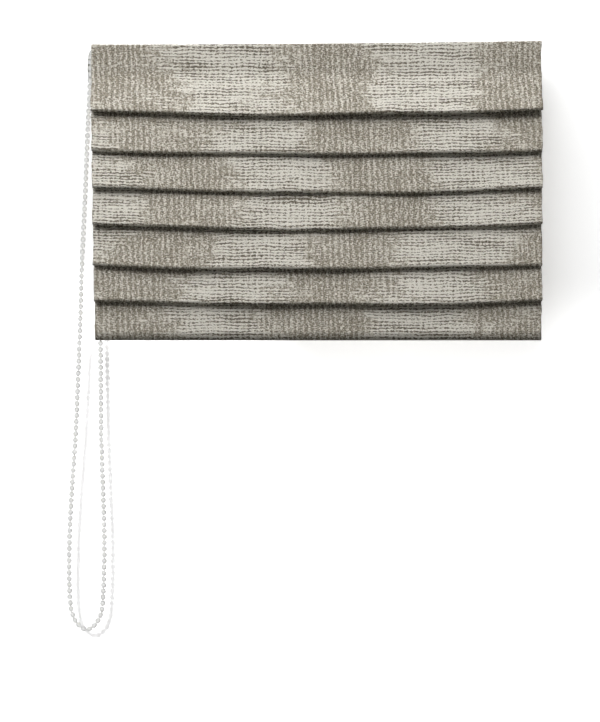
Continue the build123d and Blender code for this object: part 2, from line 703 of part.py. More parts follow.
write("headrail", headrail())
write("wall_bracket_left", wall_bracket(-BRACKET_X))
write("wall_bracket_right", wall_bracket(BRACKET_X))
write("bracket_lever_left", bracket_lever(-BRACKET_X))
write("bracket_lever_right", bracket_lever(BRACKET_X))
write("clutch_housing", clutch_housing())
write("wrap_spring", wrap_spring())
write("clutch_driver", clutch_driver())
write("chain_wheel", chain_wheel())
write("drive_shaft", drive_shaft())
write("end_cap", end_cap())
write("shaft_journal", shaft_journal())
write("cord_drum_left", cord_drum(-DRUM_X))
write("cord_drum_right", cord_drum(DRUM_X))
write("drum_cradle_left", drum_cradle(-DRUM_X))
write("drum_cradle_right", drum_cradle(DRUM_X))
write("hook_tape", rail_tape(RAIL_FRONT))
write("loop_tape", rail_tape(RAIL_FRONT + TAPE_THICKNESS))
write("fabric", fabric())
for index in range(len(FOLD_BOTTOMS)):
    write(f"rod_{index + 1}", rod(index))
    write(f"rod_tape_{index + 1}", rod_tape(index))
    write(f"ring_clips_{index + 1}", ring_clips(index))
write("bottom_bar", bottom_bar())
write("cord_anchors", cord_anchors())
write("lift_cord_left", lift_cord(-DRUM_X))
write("lift_cord_right", lift_cord(DRUM_X))
write("pull_chain", pull_chain())
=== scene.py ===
# %% [markdown]
# # Dressing a small roman blind
#
# The frame comes from the imported CAD model: rail, clutch, drums, ribs and a plain folded
# cloth, each on the body that carries it. This lesson gives every part its finish, replaces
# the plain cloth by a woven one, and hangs a real bead chain and real cords. All sizes are in
# metres. X runs along the rail, Y goes into the wall, Z is up, and the origin is on the wall
# between the brackets.

# %% Load the frame
import math

import bpy
import numpy as np
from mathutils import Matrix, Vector


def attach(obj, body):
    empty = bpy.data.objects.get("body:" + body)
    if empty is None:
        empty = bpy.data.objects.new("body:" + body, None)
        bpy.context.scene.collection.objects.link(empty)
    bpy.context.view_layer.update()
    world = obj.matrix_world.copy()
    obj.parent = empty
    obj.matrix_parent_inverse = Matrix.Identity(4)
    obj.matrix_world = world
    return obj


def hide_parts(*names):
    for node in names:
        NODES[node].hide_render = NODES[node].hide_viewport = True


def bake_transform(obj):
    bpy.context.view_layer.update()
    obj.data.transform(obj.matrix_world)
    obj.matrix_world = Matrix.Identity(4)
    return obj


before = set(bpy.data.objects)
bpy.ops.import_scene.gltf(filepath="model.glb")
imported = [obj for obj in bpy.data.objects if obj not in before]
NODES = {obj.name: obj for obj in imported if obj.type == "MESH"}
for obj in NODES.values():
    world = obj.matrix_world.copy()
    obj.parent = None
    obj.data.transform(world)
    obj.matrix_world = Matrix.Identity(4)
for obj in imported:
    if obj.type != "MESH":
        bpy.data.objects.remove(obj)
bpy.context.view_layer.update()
bpy.ops.object.select_all(action="DESELECT")
MM = 0.001

# %% [markdown]
# Colours are picked as sRGB hex values, because that is how a colour is read off a paint card
# or a photograph, and one function turns them to the linear values that the shader needs.
# Materials are built from nodes, so one small function adds a node with its settings and its
# links, and everything else in the materials is a list of such nodes. Pattern scales are worked
# out from sizes in millimetres by the last two functions.


# %% Helpers for materials
def linear(hex_colour):
    """An sRGB hex colour as the linear RGBA that Blender's sockets take."""
    parts = [int(hex_colour[i:i + 2], 16) / 255 for i in (0, 2, 4)]
    return [c / 12.92 if c <= 0.04045 else ((c + 0.055) / 1.055) ** 2.4 for c in parts] + [1.0]


def fill(tree, node, values):
    """Gives each named input of a node its number or colour, or links it to an output."""
    for socket, value in values.items():
        if isinstance(value, bpy.types.NodeSocket):
            tree.links.new(value, node.inputs[socket])
        else:
            node.inputs[socket].default_value = value


def add(tree, kind, values=None, **settings):
    """Adds one node with its settings, and fills its inputs."""
    made = tree.nodes.new("ShaderNode" + kind)
    for name, value in settings.items():
        setattr(made, name, value)
    fill(tree, made, values or {})
    return made


def material(name):
    """A new material with its tree and its Principled shader."""
    made = bpy.data.materials.new(name)
    made.use_nodes = True
    return made, made.node_tree, made.node_tree.nodes["Principled BSDF"]


def every(size):
    """Texture scale for lumps or lines that are this many millimetres apart."""
    return 1 / (size * MM)


def slanted(pitch):
    """Scale of diagonal bands that come every so many millimetres along one axis."""
    return 2 * math.pi / (10 * pitch * MM)


print("white paint card", [round(c, 3) for c in linear("f2f1ec")])

# %% [markdown]
# The camera stands level in front of the blind, a little below it, as in the photograph. One
# picture pixel is to be 0.977 mm in the plane of the cloth, so the picture is 0.705 m high
# there, and the lens is the one that shows this height from 1.5 m away.

# %% Camera
CAMERA_PLACE = (-0.0158, -1.543, -0.2897)
CAMERA_DISTANCE = 1.5
PICTURE_HEIGHT = 0.7054
bpy.ops.object.camera_add(location=CAMERA_PLACE, rotation=(math.pi / 2, 0, 0))
camera = bpy.context.object
camera.name = "camera"
camera.data.sensor_fit = "AUTO"
camera.data.lens = camera.data.sensor_width * CAMERA_DISTANCE / PICTURE_HEIGHT
bpy.context.scene.camera = camera
print("lens", round(camera.data.lens, 2))

# %% [markdown]
# The bead chain is an endless loop of moulded beads on a thin polyester string. It leaves the
# front of the wheel, hangs under its own weight in a long narrow loop and comes up again
# behind. The string is one NURBS spline with a few control points, because a spline bends as
# smoothly as a hanging string does, and the beads are strung on it at the 6 mm pitch that fits
# the pockets of the wheel.

# %% The string of the chain
STRING_DIAMETER = 1.3 * MM
CHAIN_ROUTE = [
    (-221.0, -39.38, 0.0), (-221.6, -38.9, -24.0), (-224.4, -37.6, -72.0),
    (-226.9, -35.2, -132.0), (-230.3, -32.8, -192.0), (-232.2, -30.9, -252.0),
    (-234.9, -28.9, -312.0), (-237.2, -27.4, -366.0), (-241.1, -26.2, -414.0),
    (-243.5, -25.2, -456.0), (-244.3, -24.5, -492.0), (-243.9, -24.1, -520.0),
    (-242.0, -24.0, -541.0), (-232.2, -23.9, -555.2), (-221.7, -23.8, -555.0),
    (-212.0, -23.8, -541.5), (-210.4, -23.7, -520.0), (-209.5, -23.5, -492.0),
    (-209.4, -22.8, -456.0), (-211.2, -21.6, -414.0), (-213.0, -20.2, -366.0),
    (-213.7, -18.4, -312.0), (-214.3, -16.6, -252.0), (-215.8, -14.6, -192.0),
    (-217.4, -12.4, -132.0), (-219.4, -10.3, -72.0), (-220.7, -9.1, -24.0),
    (-221.0, -8.62, 0.0),
]


def nurbs(name, points, bevel):
    """A smooth curve object whose control points are these, in millimetres."""
    data = bpy.data.curves.new(name, "CURVE")
    data.dimensions = "3D"
    spline = data.splines.new("NURBS")
    spline.points.add(len(points) - 1)
    for point, place in zip(spline.points, points):
        point.co = (*[c * MM for c in place], 1.0)
    spline.order_u = 3
    spline.use_endpoint_u = True
    data.resolution_u = 12
    data.bevel_depth = bevel
    data.bevel_resolution = 2
    data.use_fill_caps = True
    made = bpy.data.objects.new(name, data)
    bpy.context.collection.objects.link(made)
    return made


def line_of(name, points):
    """The points that the smooth curve through this route runs along, in metres."""
    bare = nurbs(name, points, 0.0)
    mesh = bpy.data.meshes.new_from_object(bare)
    line = np.array([v.co for v in mesh.vertices])
    bpy.data.objects.remove(bare)
    bpy.data.meshes.remove(mesh)
    return line


chain_string = nurbs("chain_string", CHAIN_ROUTE, STRING_DIAMETER / 2)
chain_line = line_of("chain_centre", CHAIN_ROUTE)
chain_steps = np.linalg.norm(np.diff(chain_line, axis=0), axis=1)
chain_length = float(chain_steps.sum())
print("hanging chain", round(chain_length, 4), "m")

# %% [markdown]
# One bead is modelled once: a small ball, drawn out a little along the string and cut flat at
# each end, where the string comes out. It has only a few dozen faces, since there are nearly two
# hundred of them. Smooth shading hides the facets. Each bead is copied to its own place and
# turned along the string there.

# %% Beads
BEAD_DIAMETER = 5.0 * MM
BEAD_STRETCH = 1.12
BEAD_MOUTH = 2.4 * MM
BEAD_PITCH = 6 * MM
POCKETS = 16
WHEEL_CENTRE = Vector((-0.221, -0.024, 0.0))
PITCH_RADIUS = BEAD_PITCH / (2 * math.sin(math.pi / POCKETS))
LOOK_ALONG = 0.0004


def bead_shape():
    """One bead at the origin, its string along Z, with a mouth at each end."""
    bpy.ops.mesh.primitive_uv_sphere_add(segments=10, ring_count=6, radius=BEAD_DIAMETER / 2)
    bead = bpy.context.object
    for v in bead.data.vertices:
        v.co.z = max(-BEAD_MOUTH, min(BEAD_MOUTH, BEAD_STRETCH * v.co.z))
    bead.data.shade_smooth()
    return bead


def along(line, distance):
    """The place and the direction of a line at a distance from its start."""
    reach = np.concatenate([[0], np.cumsum(np.linalg.norm(np.diff(line, axis=0), axis=1))])
    back, here, ahead = [
        Vector([float(np.interp(distance + step, reach, line[:, k])) for k in range(3)])
        for step in (-LOOK_ALONG, 0.0, LOOK_ALONG)
    ]
    return here, (ahead - back).normalized()


def joined(name, shape, places):
    """One mesh with a copy of the shape at each place and direction."""
    base = np.array([v.co for v in shape.data.vertices])
    faces = [tuple(p.vertices) for p in shape.data.polygons]
    points, polygons = [], []
    for place, direction in places:
        turn = direction.to_track_quat("Z", "Y").to_matrix()
        start = len(points)
        points.extend((place + turn @ Vector(p)) for p in base)
        polygons.extend(tuple(start + i for i in face) for face in faces)
    mesh = bpy.data.meshes.new(name)
    mesh.from_pydata(points, [], polygons)
    mesh.shade_smooth()
    made = bpy.data.objects.new(name, mesh)
    bpy.context.collection.objects.link(made)
    bpy.data.objects.remove(shape)
    return made


bead_count = round(chain_length / BEAD_PITCH)
bead_step = chain_length / bead_count
bead_places = [along(chain_line, bead_step * (k + 0.5)) for k in range(bead_count)]
beads_on_wheel = POCKETS // 2
for k in range(beads_on_wheel):
    angle = math.pi * (k + 0.5) / beads_on_wheel
    spoke = Vector((0, -math.cos(angle), math.sin(angle)))
    along_rim = Vector((0, math.sin(angle), math.cos(angle)))
    bead_places.append((WHEEL_CENTRE + PITCH_RADIUS * spoke, along_rim))
chain_beads = joined("chain_beads", bead_shape(), bead_places)
print("beads", len(bead_places), "step", round(bead_step / MM, 3), "mm")

# %% [markdown]
# Over the wheel the string lies in the groove between the pockets, so it is a short arc of its
# own there. Its points lie on the pitch circle, and it is as thick as the rest.

# %% String over the wheel
WHEEL_STEPS = 12
wheel_arc = []
for k in range(WHEEL_STEPS + 1):
    angle = math.pi * k / WHEEL_STEPS
    wheel_arc.append((
        WHEEL_CENTRE.x / MM,
        (WHEEL_CENTRE.y - PITCH_RADIUS * math.cos(angle)) / MM,
        PITCH_RADIUS * math.sin(angle) / MM,
    ))
wheel_string = nurbs("chain_string_on_wheel", wheel_arc, STRING_DIAMETER / 2)
print("arc points", len(wheel_arc))

# %% [markdown]
# The beads are moulded acetal: milky white, smooth and fairly glossy, with a little light
# scattered inside that softens their shaded side. The string is twisted white polyester, so it
# is rougher and a shade greyer. The slant of its twist comes every 6 mm, which is coarser than
# on a real string, so that it can be seen at all.


# %% Bead and string materials
def bead_material():
    """Moulded acetal beads, milky white with a soft gloss."""
    made, tree, shader = material("acetal_bead")
    place = add(tree, "TexCoord")
    cloud = add(tree, "TexNoise", {
        "Vector": place.outputs["Object"], "Scale": every(6.25), "Detail": 2.0,
    })
    tint = add(tree, "Mix", {
        "Factor": cloud.outputs["Fac"], "A": linear("e6e6e4"), "B": linear("f0f0ee"),
    }, data_type="RGBA")
    fill(tree, shader, {
        "Base Color": tint.outputs["Result"], "Roughness": 0.3, "IOR": 1.48,
        "Specular IOR Level": 0.25, "Subsurface Weight": 0.2,
        "Subsurface Radius": (0.001, 0.001, 0.0009), "Subsurface Scale": 1.0,
    })
    return made


def twisted_string_material():
    """Twisted polyester string, off-white, with slanting strands."""
    made, tree, shader = material("polyester_string")
    place = add(tree, "TexCoord")
    strand = add(tree, "TexWave", {
        "Vector": place.outputs["Object"], "Scale": slanted(6.0), "Distortion": 1.0, "Detail": 1.0,
    }, wave_type="BANDS", bands_direction="DIAGONAL")
    tint = add(tree, "Mix", {
        "Factor": strand.outputs["Fac"], "A": linear("cfcecb"), "B": linear("ecebe8"),
    }, data_type="RGBA")
    bump = add(tree, "Bump", {
        "Height": strand.outputs["Fac"], "Strength": 0.6, "Distance": 0.15 * MM,
    })
    fill(tree, shader, {
        "Base Color": tint.outputs["Result"], "Normal": bump.outputs["Normal"], "Roughness": 0.75,
    })
    return made


BEAD = bead_material()
STRING = twisted_string_material()
chain_beads.data.materials.append(BEAD)
for piece in (chain_string, wheel_string):
    piece.data.materials.append(STRING)
for piece in (chain_string, chain_beads, wheel_string):
    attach(piece, "rail")
    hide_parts("pull_chain")
print("chain dressed")

# %% [markdown]
# The cloth is one length, 440 mm wide and 713 mm long, that winds down in six soft folds. Seen
# from the side its middle line runs round circles, with straight runs between them: a tight
# circle at the low point of each fold, another where each rib is sewn on, and a wide one where
# the front of a fold leans away from its rib. The CAD model's cloth is worked out in the same
# way, but here the folds hang 2 to 3.5 mm lower and turn more tightly, as in the photograph. The
# path is worked out at each station across the width, because each fold hangs a little lower in
# the middle, and wavers.

# %% The circles that the cloth winds round
HALF_WIDTH = 220.0
CLOTH_THICKNESS = 1.6
CLOTH_TOP = 19.5
CLOTH_BOTTOM = -269.7
CLOTH_FRONT = 42.8
FOLD_BOTTOMS = [-49.9, -88.2, -125.2, -160.6, -199.6, -234.3]
FOLD_FRONTS = [54.0, 53.0, 52.8, 52.8, 52.8, 51.4]
FOLD_HEIGHTS = [27.5, 31.4, 31.2, 30.6, 30.6, 30.2]
FOLDS = len(FOLD_BOTTOMS)
RIDGES = [low + high for low, high in zip(FOLD_BOTTOMS, FOLD_HEIGHTS)]
FOLD_SAG = 4.5
LOOP_RADIUS = 1.2
LEAN_RADIUS = 30.0
LEAN_DROP = 10.0
LEAN_OUT = 1.2
FIRST_LEAN = -6.0
RIDGE_RADIUS = 1.2
RIDGE_REAR = 42.6
HEM_CIRCLE = (40.2, -266.5, -2.4)
HEM_END = (37.8, -240.5, 0.0)
ARC_STEPS = 16
# The sag is zero at this station, so its runs give the cut lengths of the cloth.
MEAN_STATION = -0.577
# Each wave has its size in mm, its turn across the width and its shift from fold to fold.
BOTTOM_WAVES = ((0.7, 3.1, 1.7), (0.45, 7.3, -2.3))
FRONT_WAVES = ((0.8, 2.3, -1.1), (0.4, 9.1, 2.0))


def waver(waves, station, k):
    """How far fold k is off at one station, as the sum of its waves."""
    return sum(size * math.sin(turn * station + shift * k) for size, turn, shift in waves)


def cloth_turns(station):
    """The circles at one station across the width, -1 to 1, as front, height and radius."""
    sag = FOLD_SAG * (station ** 2 - 1 / 3)
    turns = [(CLOTH_FRONT, CLOTH_TOP, 0.0), (CLOTH_FRONT + LEAN_RADIUS, FIRST_LEAN, LEAN_RADIUS)]
    for k, (bottom, front, ridge) in enumerate(zip(FOLD_BOTTOMS, FOLD_FRONTS, RIDGES)):
        uneven = waver(BOTTOM_WAVES, station, k)
        ripple = waver(FRONT_WAVES, station, k)
        low = bottom + sag + uneven + CLOTH_THICKNESS / 2 + LOOP_RADIUS
        if k > 0:
            bend = RIDGES[k - 1] - LEAN_DROP
            turns.append((RIDGE_REAR + LEAN_OUT + LEAN_RADIUS, bend, LEAN_RADIUS))
        turns.append((front + ripple - LOOP_RADIUS, low, -LOOP_RADIUS))
        turns.append((RIDGE_REAR + RIDGE_RADIUS, ridge, RIDGE_RADIUS))
    return turns + [HEM_CIRCLE, HEM_END]


def cloth_marks(station):
    """Runs of the middle line, split at each fold's low point, each rib and the hem's turn."""
    turns = cloth_turns(station)
    angles = []
    for (f1, z1, r1), (f2, z2, r2) in zip(turns, turns[1:]):
        reach = math.hypot(f2 - f1, z2 - z1)
        angles.append(math.atan2(z2 - z1, f2 - f1) + math.pi / 2 - math.asin((r2 - r1) / reach))
    runs, run = [], [turns[0][:2]]
    for k in range(1, len(turns) - 1):
        front, height, radius = turns[k]
        swing = (angles[k] - angles[k - 1]) % (2 * math.pi)
        swing -= 2 * math.pi if radius < 0 else 0
        for i in range(ARC_STEPS + 1):
            angle = angles[k - 1] + swing * i / ARC_STEPS
            run.append((front - radius * math.cos(angle), height - radius * math.sin(angle)))
            if i == ARC_STEPS // 2 and radius != LEAN_RADIUS:
                runs.append(run)
                run = [run[-1]]
    run.append(turns[-1][:2])
    return runs + [run]


middle_runs = [np.array(run) for run in cloth_marks(MEAN_STATION)]
RUN_LENGTHS = [float(np.linalg.norm(np.diff(run, axis=0), axis=1).sum()) for run in middle_runs]
RUN_STARTS = [0.0] + [float(x) for x in np.cumsum(RUN_LENGTHS)]
print("runs", [round(x, 1) for x in RUN_LENGTHS], "cut length", round(RUN_STARTS[-1], 1))

# %% [markdown]
# A point of the flat cloth has a station across the width and a distance from the top edge. To
# hang it, the run that it lies in is followed for that distance, and the point is moved off the
# middle line to one face. The bottom panel bellies a little, the top edge climbs towards the
# right, the cloth gets a little narrower on its way down, mostly at the left, and the side edges
# waver by up to half a millimetre, as on a hand-made blind.

# %% From flat cloth to hung cloth
RUN_STEP = 0.2
HEM_RUN = len(RUN_LENGTHS) - 1
BELLY = 4.5
BELLY_FULL = -262.0
BELLY_END = -270.0
BELLY_FADE = 8.0
TOP_RISE = 3.5
RISE_START = -25.0
EDGE_DRIFT_LEFT = 4.5
EDGE_DRIFT_RIGHT = 0.5
# Each wave of a side edge has its size and length in mm and its shift from side to side.
EDGE_WAVES = ((0.3, 6.1, 2.0), (0.2, 2.3, 0.0))


def hung(station, first, last, flat, side):
    """Points of one face of the cloth in metres. side is its offset from the middle line."""
    runs = cloth_marks(station)[first:last]
    line = np.array(runs[0] + [p for run in runs[1:] for p in run[1:]])
    lengths = [np.linalg.norm(np.diff(np.array(r), axis=0), axis=1).sum() for r in runs]
    marks = np.concatenate([[0], np.cumsum(lengths)])
    wanted = np.interp(flat, RUN_STARTS[first:last + 1], marks)
    reach = np.concatenate([[0], np.cumsum(np.linalg.norm(np.diff(line, axis=0), axis=1))])
    front, height = (np.interp(wanted, reach, line[:, k]) for k in (0, 1))
    back, ahead = wanted - RUN_STEP, wanted + RUN_STEP
    run_f, run_z = (
        np.interp(ahead, reach, line[:, k]) - np.interp(back, reach, line[:, k]) for k in (0, 1)
    )
    size = np.hypot(run_f, run_z)
    front = front - run_z / size * side
    height = height + run_f / size * side
    if last == len(RUN_LENGTHS):
        fullness = np.clip((RIDGES[-1] - height) / (RIDGES[-1] - BELLY_FULL), 0, 1)
        fade = np.clip((height - BELLY_END) / BELLY_FADE, 0, 1) ** 0.5
        front = front + BELLY * fullness * fade * (flat < RUN_STARTS[HEM_RUN])
    rise = TOP_RISE * ((station + 1) / 2) ** 2
    height = height + rise * np.clip((height - RISE_START) / (CLOTH_TOP - RISE_START), 0, 1)
    down = (CLOTH_TOP - height) / (CLOTH_TOP - CLOTH_BOTTOM)
    drift = EDGE_DRIFT_LEFT if station < 0 else EDGE_DRIFT_RIGHT
    edge = sum(
        swell * np.sin(flat / length + shift * station) for swell, length, shift in EDGE_WAVES
    )
    x = station * (HALF_WIDTH + edge - drift * down)
    return np.stack([x, -front, height], axis=1) * MM


top_corner = hung(1.0, 0, 1, np.array([0.0]), CLOTH_THICKNESS / 2)[0]
print("right top corner", [round(float(c) / MM, 1) for c in top_corner])

# %% [markdown]
# Each run becomes a piece of its own, because the ribs move: the front of a fold hangs from the
# rib above it, and the back of the fold turns over as the rib below goes down. A flat grid is
# cut to the run's size, its UV map keeps the flat cloth's own coordinates in metres so that the
# weave follows the folds, and then its points are hung. Solidify gives it thickness towards the
# back: 1 mm, and 1.6 mm at the side hems, where the cloth is turned over.

# %% Cloth pieces from flat grids
COLUMN_STEP = 2.0
ROW_STEP = 1.6
FEWEST_ROWS = 10
SIDE_HEM = 22.0
HEM_STEP = 2.0
SINGLE_SHARE = 0.62


def cloth_piece(name, first, last):
    """The cloth from run first up to run last, laid along the folded path."""
    start, end = RUN_STARTS[first], RUN_STARTS[last]
    columns = round(2 * HALF_WIDTH / COLUMN_STEP)
    rows = max(FEWEST_ROWS, round((end - start) / ROW_STEP))
    bpy.ops.mesh.primitive_grid_add(x_subdivisions=columns, y_subdivisions=rows, size=1)
    cloth = bpy.context.object
    cloth.name = name
    mesh = cloth.data
    across = np.linspace(-1, 1, columns + 1)
    flat = np.linspace(end, start, rows + 1)
    laid = np.array([hung(s, first, last, flat, CLOTH_THICKNESS / 2) for s in across])
    mesh.vertices.foreach_set("co", laid.transpose(1, 0, 2).ravel())
    flat_u = np.tile((across + 1) * HALF_WIDTH, rows + 1)
    flat_v = np.repeat(flat, columns + 1)
    uv = mesh.uv_layers.active.data
    for loop in mesh.loops:
        k = loop.vertex_index
        uv[loop.index].uv = (flat_u[k] * MM, flat_v[k] * MM)
    edge = np.minimum(flat_u, 2 * HALF_WIDTH - flat_u)
    weight = np.clip((SIDE_HEM - edge) / HEM_STEP, 0, 1)
    group = cloth.vertex_groups.new(name="side_hems")
    for k, w in enumerate(weight):
        group.add([k], float(w), "REPLACE")
    thick = cloth.modifiers.new("thickness", "SOLIDIFY")
    thick.thickness = CLOTH_THICKNESS * MM
    thick.offset = -1
    thick.vertex_group = "side_hems"
    thick.thickness_vertex_group = SINGLE_SHARE
    bpy.context.view_layer.objects.active = cloth
    bpy.ops.object.modifier_apply(modifier="thickness")
    mesh.shade_smooth()
    bpy.ops.object.select_all(action="DESELECT")
    return cloth


probe = cloth_piece("cloth_front_1", 0, 1)
print("first front", len(probe.data.polygons), [round(x, 4) for x in probe.dimensions])

# %% [markdown]
# The weave is a coarse slub cloth: pale linen-coloured yarns of uneven thickness over a taupe
# ground. In some zones the pale yarns run down in wavy lines, in others the taupe weft shows as
# rows of short dashes in a pale net. Both patterns are worked out from the flat cloth's own
# millimetres: the rows of dashes are 3.15 mm apart, the dashes follow each other every 5.9 mm,
# and the wavy yarns are 5.5 mm apart. A slow wave across the width with noise on it says which
# of the two patterns shows.

# %% The slub weave
DASH_ROWS = 3.15
DASH_PITCH = 5.9
YARN_PITCH = 5.5
ZONE_PITCH = 195.0
ZONE_MIDDLE = 62.0
ZONE_DRIFT = 37.0
DRIFT_LENGTH = 650.0


def slub_cloth_material():
    """Coarse slub weave in linen and taupe, matt, with raised pale yarns."""
    made, tree, shader = material("slub_weave")
    place = add(tree, "TexCoord")
    mm = add(tree, "VectorMath", {0: place.outputs["UV"], "Scale": 1 / MM}, operation="SCALE")
    flat = add(tree, "SeparateXYZ", {"Vector": mm.outputs[0]})
    u, v = flat.outputs["X"], flat.outputs["Y"]

    def math_node(operation, a, b=0.0, c=0.0):
        return add(tree, "Math", {0: a, 1: b, 2: c}, operation=operation).outputs[0]

    def noise(wide, high, shift, detail=2.0):
        """Noise whose lumps are about wide by high millimetres."""
        moved = add(tree, "Mapping", {
            "Vector": mm.outputs[0], "Scale": (1 / wide, 1 / high, 1), "Location": (shift, -shift, 0),
        })
        return add(tree, "TexNoise", {
            "Vector": moved.outputs[0], "Scale": 1.0, "Detail": detail,
        }, noise_dimensions="2D").outputs["Fac"]

    def swing(x):
        """A wave that is 1 at whole numbers and -1 half way between."""
        return math_node("COSINE", math_node("MULTIPLY", x, 2 * math.pi))

    def weighed(*parts):
        """The sum of fields, each less its middle value and times its weight."""
        total = 0.0
        for field, weight, centre in parts:
            part = math_node("MULTIPLY_ADD", field, weight, -weight * centre)
            total = math_node("ADD", part, total)
        return total

    def soft_step(x, low, high):
        return add(tree, "MapRange", {
            "Value": x, "From Min": low, "From Max": high,
        }, interpolation_type="SMOOTHSTEP").outputs[0]

    wander_v = weighed((noise(26, 12, 3), 4.0, 0.5), (noise(5, 4, 31), 1.2, 0.5), (v, 1.0, 0.0))
    rows = math_node("DIVIDE", wander_v, DASH_ROWS)
    wander_u = weighed((noise(9, 16, 7), 7.0, 0.5), (noise(3, 3, 19), 1.6, 0.5), (u, 1.0, 0.0))
    columns = math_node("DIVIDE", wander_u, DASH_PITCH)
    dashes = weighed(
        (swing(rows), 0.5, 0.0), (swing(columns), 0.2, 0.0),
        (noise(2.2, 0.9, 43, 3), 3.0, 0.5), (noise(60, 9, 57), 1.5, 0.5),
    )
    net = math_node("SUBTRACT", 0.98, math_node("MULTIPLY", soft_step(dashes, -0.06, 0.62), 0.88))

    sway = weighed(
        (noise(18, 40, 53), 6.0, 0.5), (noise(3, 6, 71), 1.8, 0.5),
        (v, -0.03, 0.0), (u, 1.0, 0.0),
    )
    yarns = weighed(
        (swing(math_node("DIVIDE", sway, YARN_PITCH)), 0.32, 0.0),
        (noise(1.3, 3.4, 83, 3), 2.4, 0.5), (noise(2.8, 0.85, 97, 3), 3.4, 0.5),
        (noise(18, 14, 11), 0.9, 0.5),
    )
    strands = weighed((soft_step(yarns, -0.2, 0.65), 0.66, 0.0), (noise(2.0, 1.1, 131), 1.2, 0.5))
    strands = math_node("ADD", strands, 0.3)

    drift = math_node("COSINE", math_node("MULTIPLY", v, 2 * math.pi / DRIFT_LENGTH))
    middle = math_node("MULTIPLY_ADD", drift, -ZONE_DRIFT, ZONE_MIDDLE)
    zone = weighed(
        (swing(math_node("DIVIDE", math_node("SUBTRACT", u, middle), ZONE_PITCH)), 1.0, 0.0),
        (noise(55, 40, 17, 3), 3.0, 0.5), (noise(8, 6, 41), 2.4, 0.5),
    )
    zone = soft_step(zone, -0.35, 0.6)
    pale = add(tree, "Mix", {"Factor": zone, "A": net, "B": strands}, data_type="FLOAT").outputs[0]
    pale = weighed((pale, 1.0, 0.0), (noise(1.5, 0.8, 67, 3), 1.1, 0.5))
    pale = add(tree, "Clamp", {"Value": pale}).outputs[0]
    tint = add(tree, "ValToRGB", {"Fac": pale})
    ramp = tint.color_ramp
    ramp.elements[0].color = linear("5f584c")
    ramp.elements[1].color = linear("e6e2d8")
    ramp.elements.new(0.5).color = linear("a8a090")
    bump = add(tree, "Bump", {"Height": pale, "Strength": 0.7, "Distance": 0.5 * MM})
    fill(tree, shader, {
        "Base Color": tint.outputs["Color"], "Normal": bump.outputs["Normal"], "Roughness": 0.9,
        "IOR": 1.45, "Specular IOR Level": 0.3, "Sheen Weight": 0.15, "Sheen Roughness": 0.5,
    })
    return made


CLOTH = slub_cloth_material()
print("weave nodes", len(CLOTH.node_tree.nodes))

# %% [markdown]
# Now the pieces are cut and hung. Run 0 is the front of the first fold and stays with the rail.
# After it the runs go in pairs: the back of a fold, which turns over between one rib and the
# next, and the front of the next fold, which hangs from that next rib. A back piece keeps the
# place that it has now and is attached to neither rib. The last two runs are the bottom panel
# and the hem turned up behind it, one piece that rides on the bottom bar.

# %% Hang the cloth
CARRIERS = ["rail", "rib_1", "rib_2", "rib_3", "rib_4", "rib_5", "hem"]
cloth_pieces = []


def turn_over(piece):
    """Bakes the placement of a piece on the back of a fold into its mesh; it rides on no rib."""
    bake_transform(piece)


def dress_cloth(piece):
    """Gives a piece of cloth its weave and hides the plain cloth of the CAD model."""
    piece.data.materials.append(CLOTH)
    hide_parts("fabric")
    cloth_pieces.append(piece)


for k, carrier in enumerate(CARRIERS):
    first = 2 * k
    last = first + 1 if k < FOLDS else len(RUN_LENGTHS)
    front = probe if k == 0 else cloth_piece(f"cloth_front_{k + 1}", first, last)
    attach(front, carrier)
    dress_cloth(front)
    if k < FOLDS:
        back = cloth_piece(f"cloth_back_{k + 1}", first + 1, first + 2)
        turn_over(back)
        dress_cloth(back)
print("cloth pieces", len(cloth_pieces), "faces", sum(len(p.data.polygons) for p in cloth_pieces))

# %% [markdown]
# A hem shows its stitches on the back. Machine stitches are all alike, so one is modelled, a
# small bar with rounded ends, and copied along each seam: down both side hems, along the top of
# the bottom hem, and along every rod tape. A row down a side hem is cut where the cloth is cut,
# so that each stitch moves with the cloth that it holds.

# %% Stitch rows
STITCH_PITCH = 3.2
STITCH_LENGTH = 2.5
STITCH_STEP = 0.5
THREAD = 0.45
THREAD_LIFT = 0.08
SEAM_WIDTH = 424.0
SEAM_CLEAR = 1.0
TAPE_SEAM_FRONT = 41.0
TAPE_SEAM_RISE = 0.4
HEM_SEAM_FRONT = 36.9
HEM_SEAM_HEIGHT = -242.5


def stitch_shape():
    """One stitch along Z with rounded ends."""
    bpy.ops.mesh.primitive_uv_sphere_add(segments=6, ring_count=5, radius=THREAD / 2 * MM)
    stitch = bpy.context.object
    for v in stitch.data.vertices:
        v.co.z += math.copysign((STITCH_LENGTH - THREAD) / 2 * MM, v.co.z) if v.co.z else 0.0
    return stitch


def seam_down(name, station, first, last):
    """Stitches down the back of the cloth at one station."""
    start, end = RUN_STARTS[first], RUN_STARTS[last]
    count = max(1, int((end - start - SEAM_CLEAR) / STITCH_PITCH))
    middles = start + (end - start) * (np.arange(count) + 0.5) / count
    points = [
        hung(station, first, last, middles + shift, -CLOTH_THICKNESS / 2 - THREAD_LIFT)
        for shift in (-STITCH_STEP, 0.0, STITCH_STEP)
    ]
    places = [(Vector(b), Vector(c - a).normalized()) for a, b, c in zip(*points)]
    return joined(name, stitch_shape(), places)


def seam_across(name, front, height):
    """Stitches along X at one distance in front of the wall and one height."""
    places = [
        (Vector((STITCH_PITCH * (k + 0.5) - SEAM_WIDTH / 2, -front, height)) * MM, Vector((1, 0, 0)))
        for k in range(int(SEAM_WIDTH / STITCH_PITCH))
    ]
    return joined(name, stitch_shape(), places)


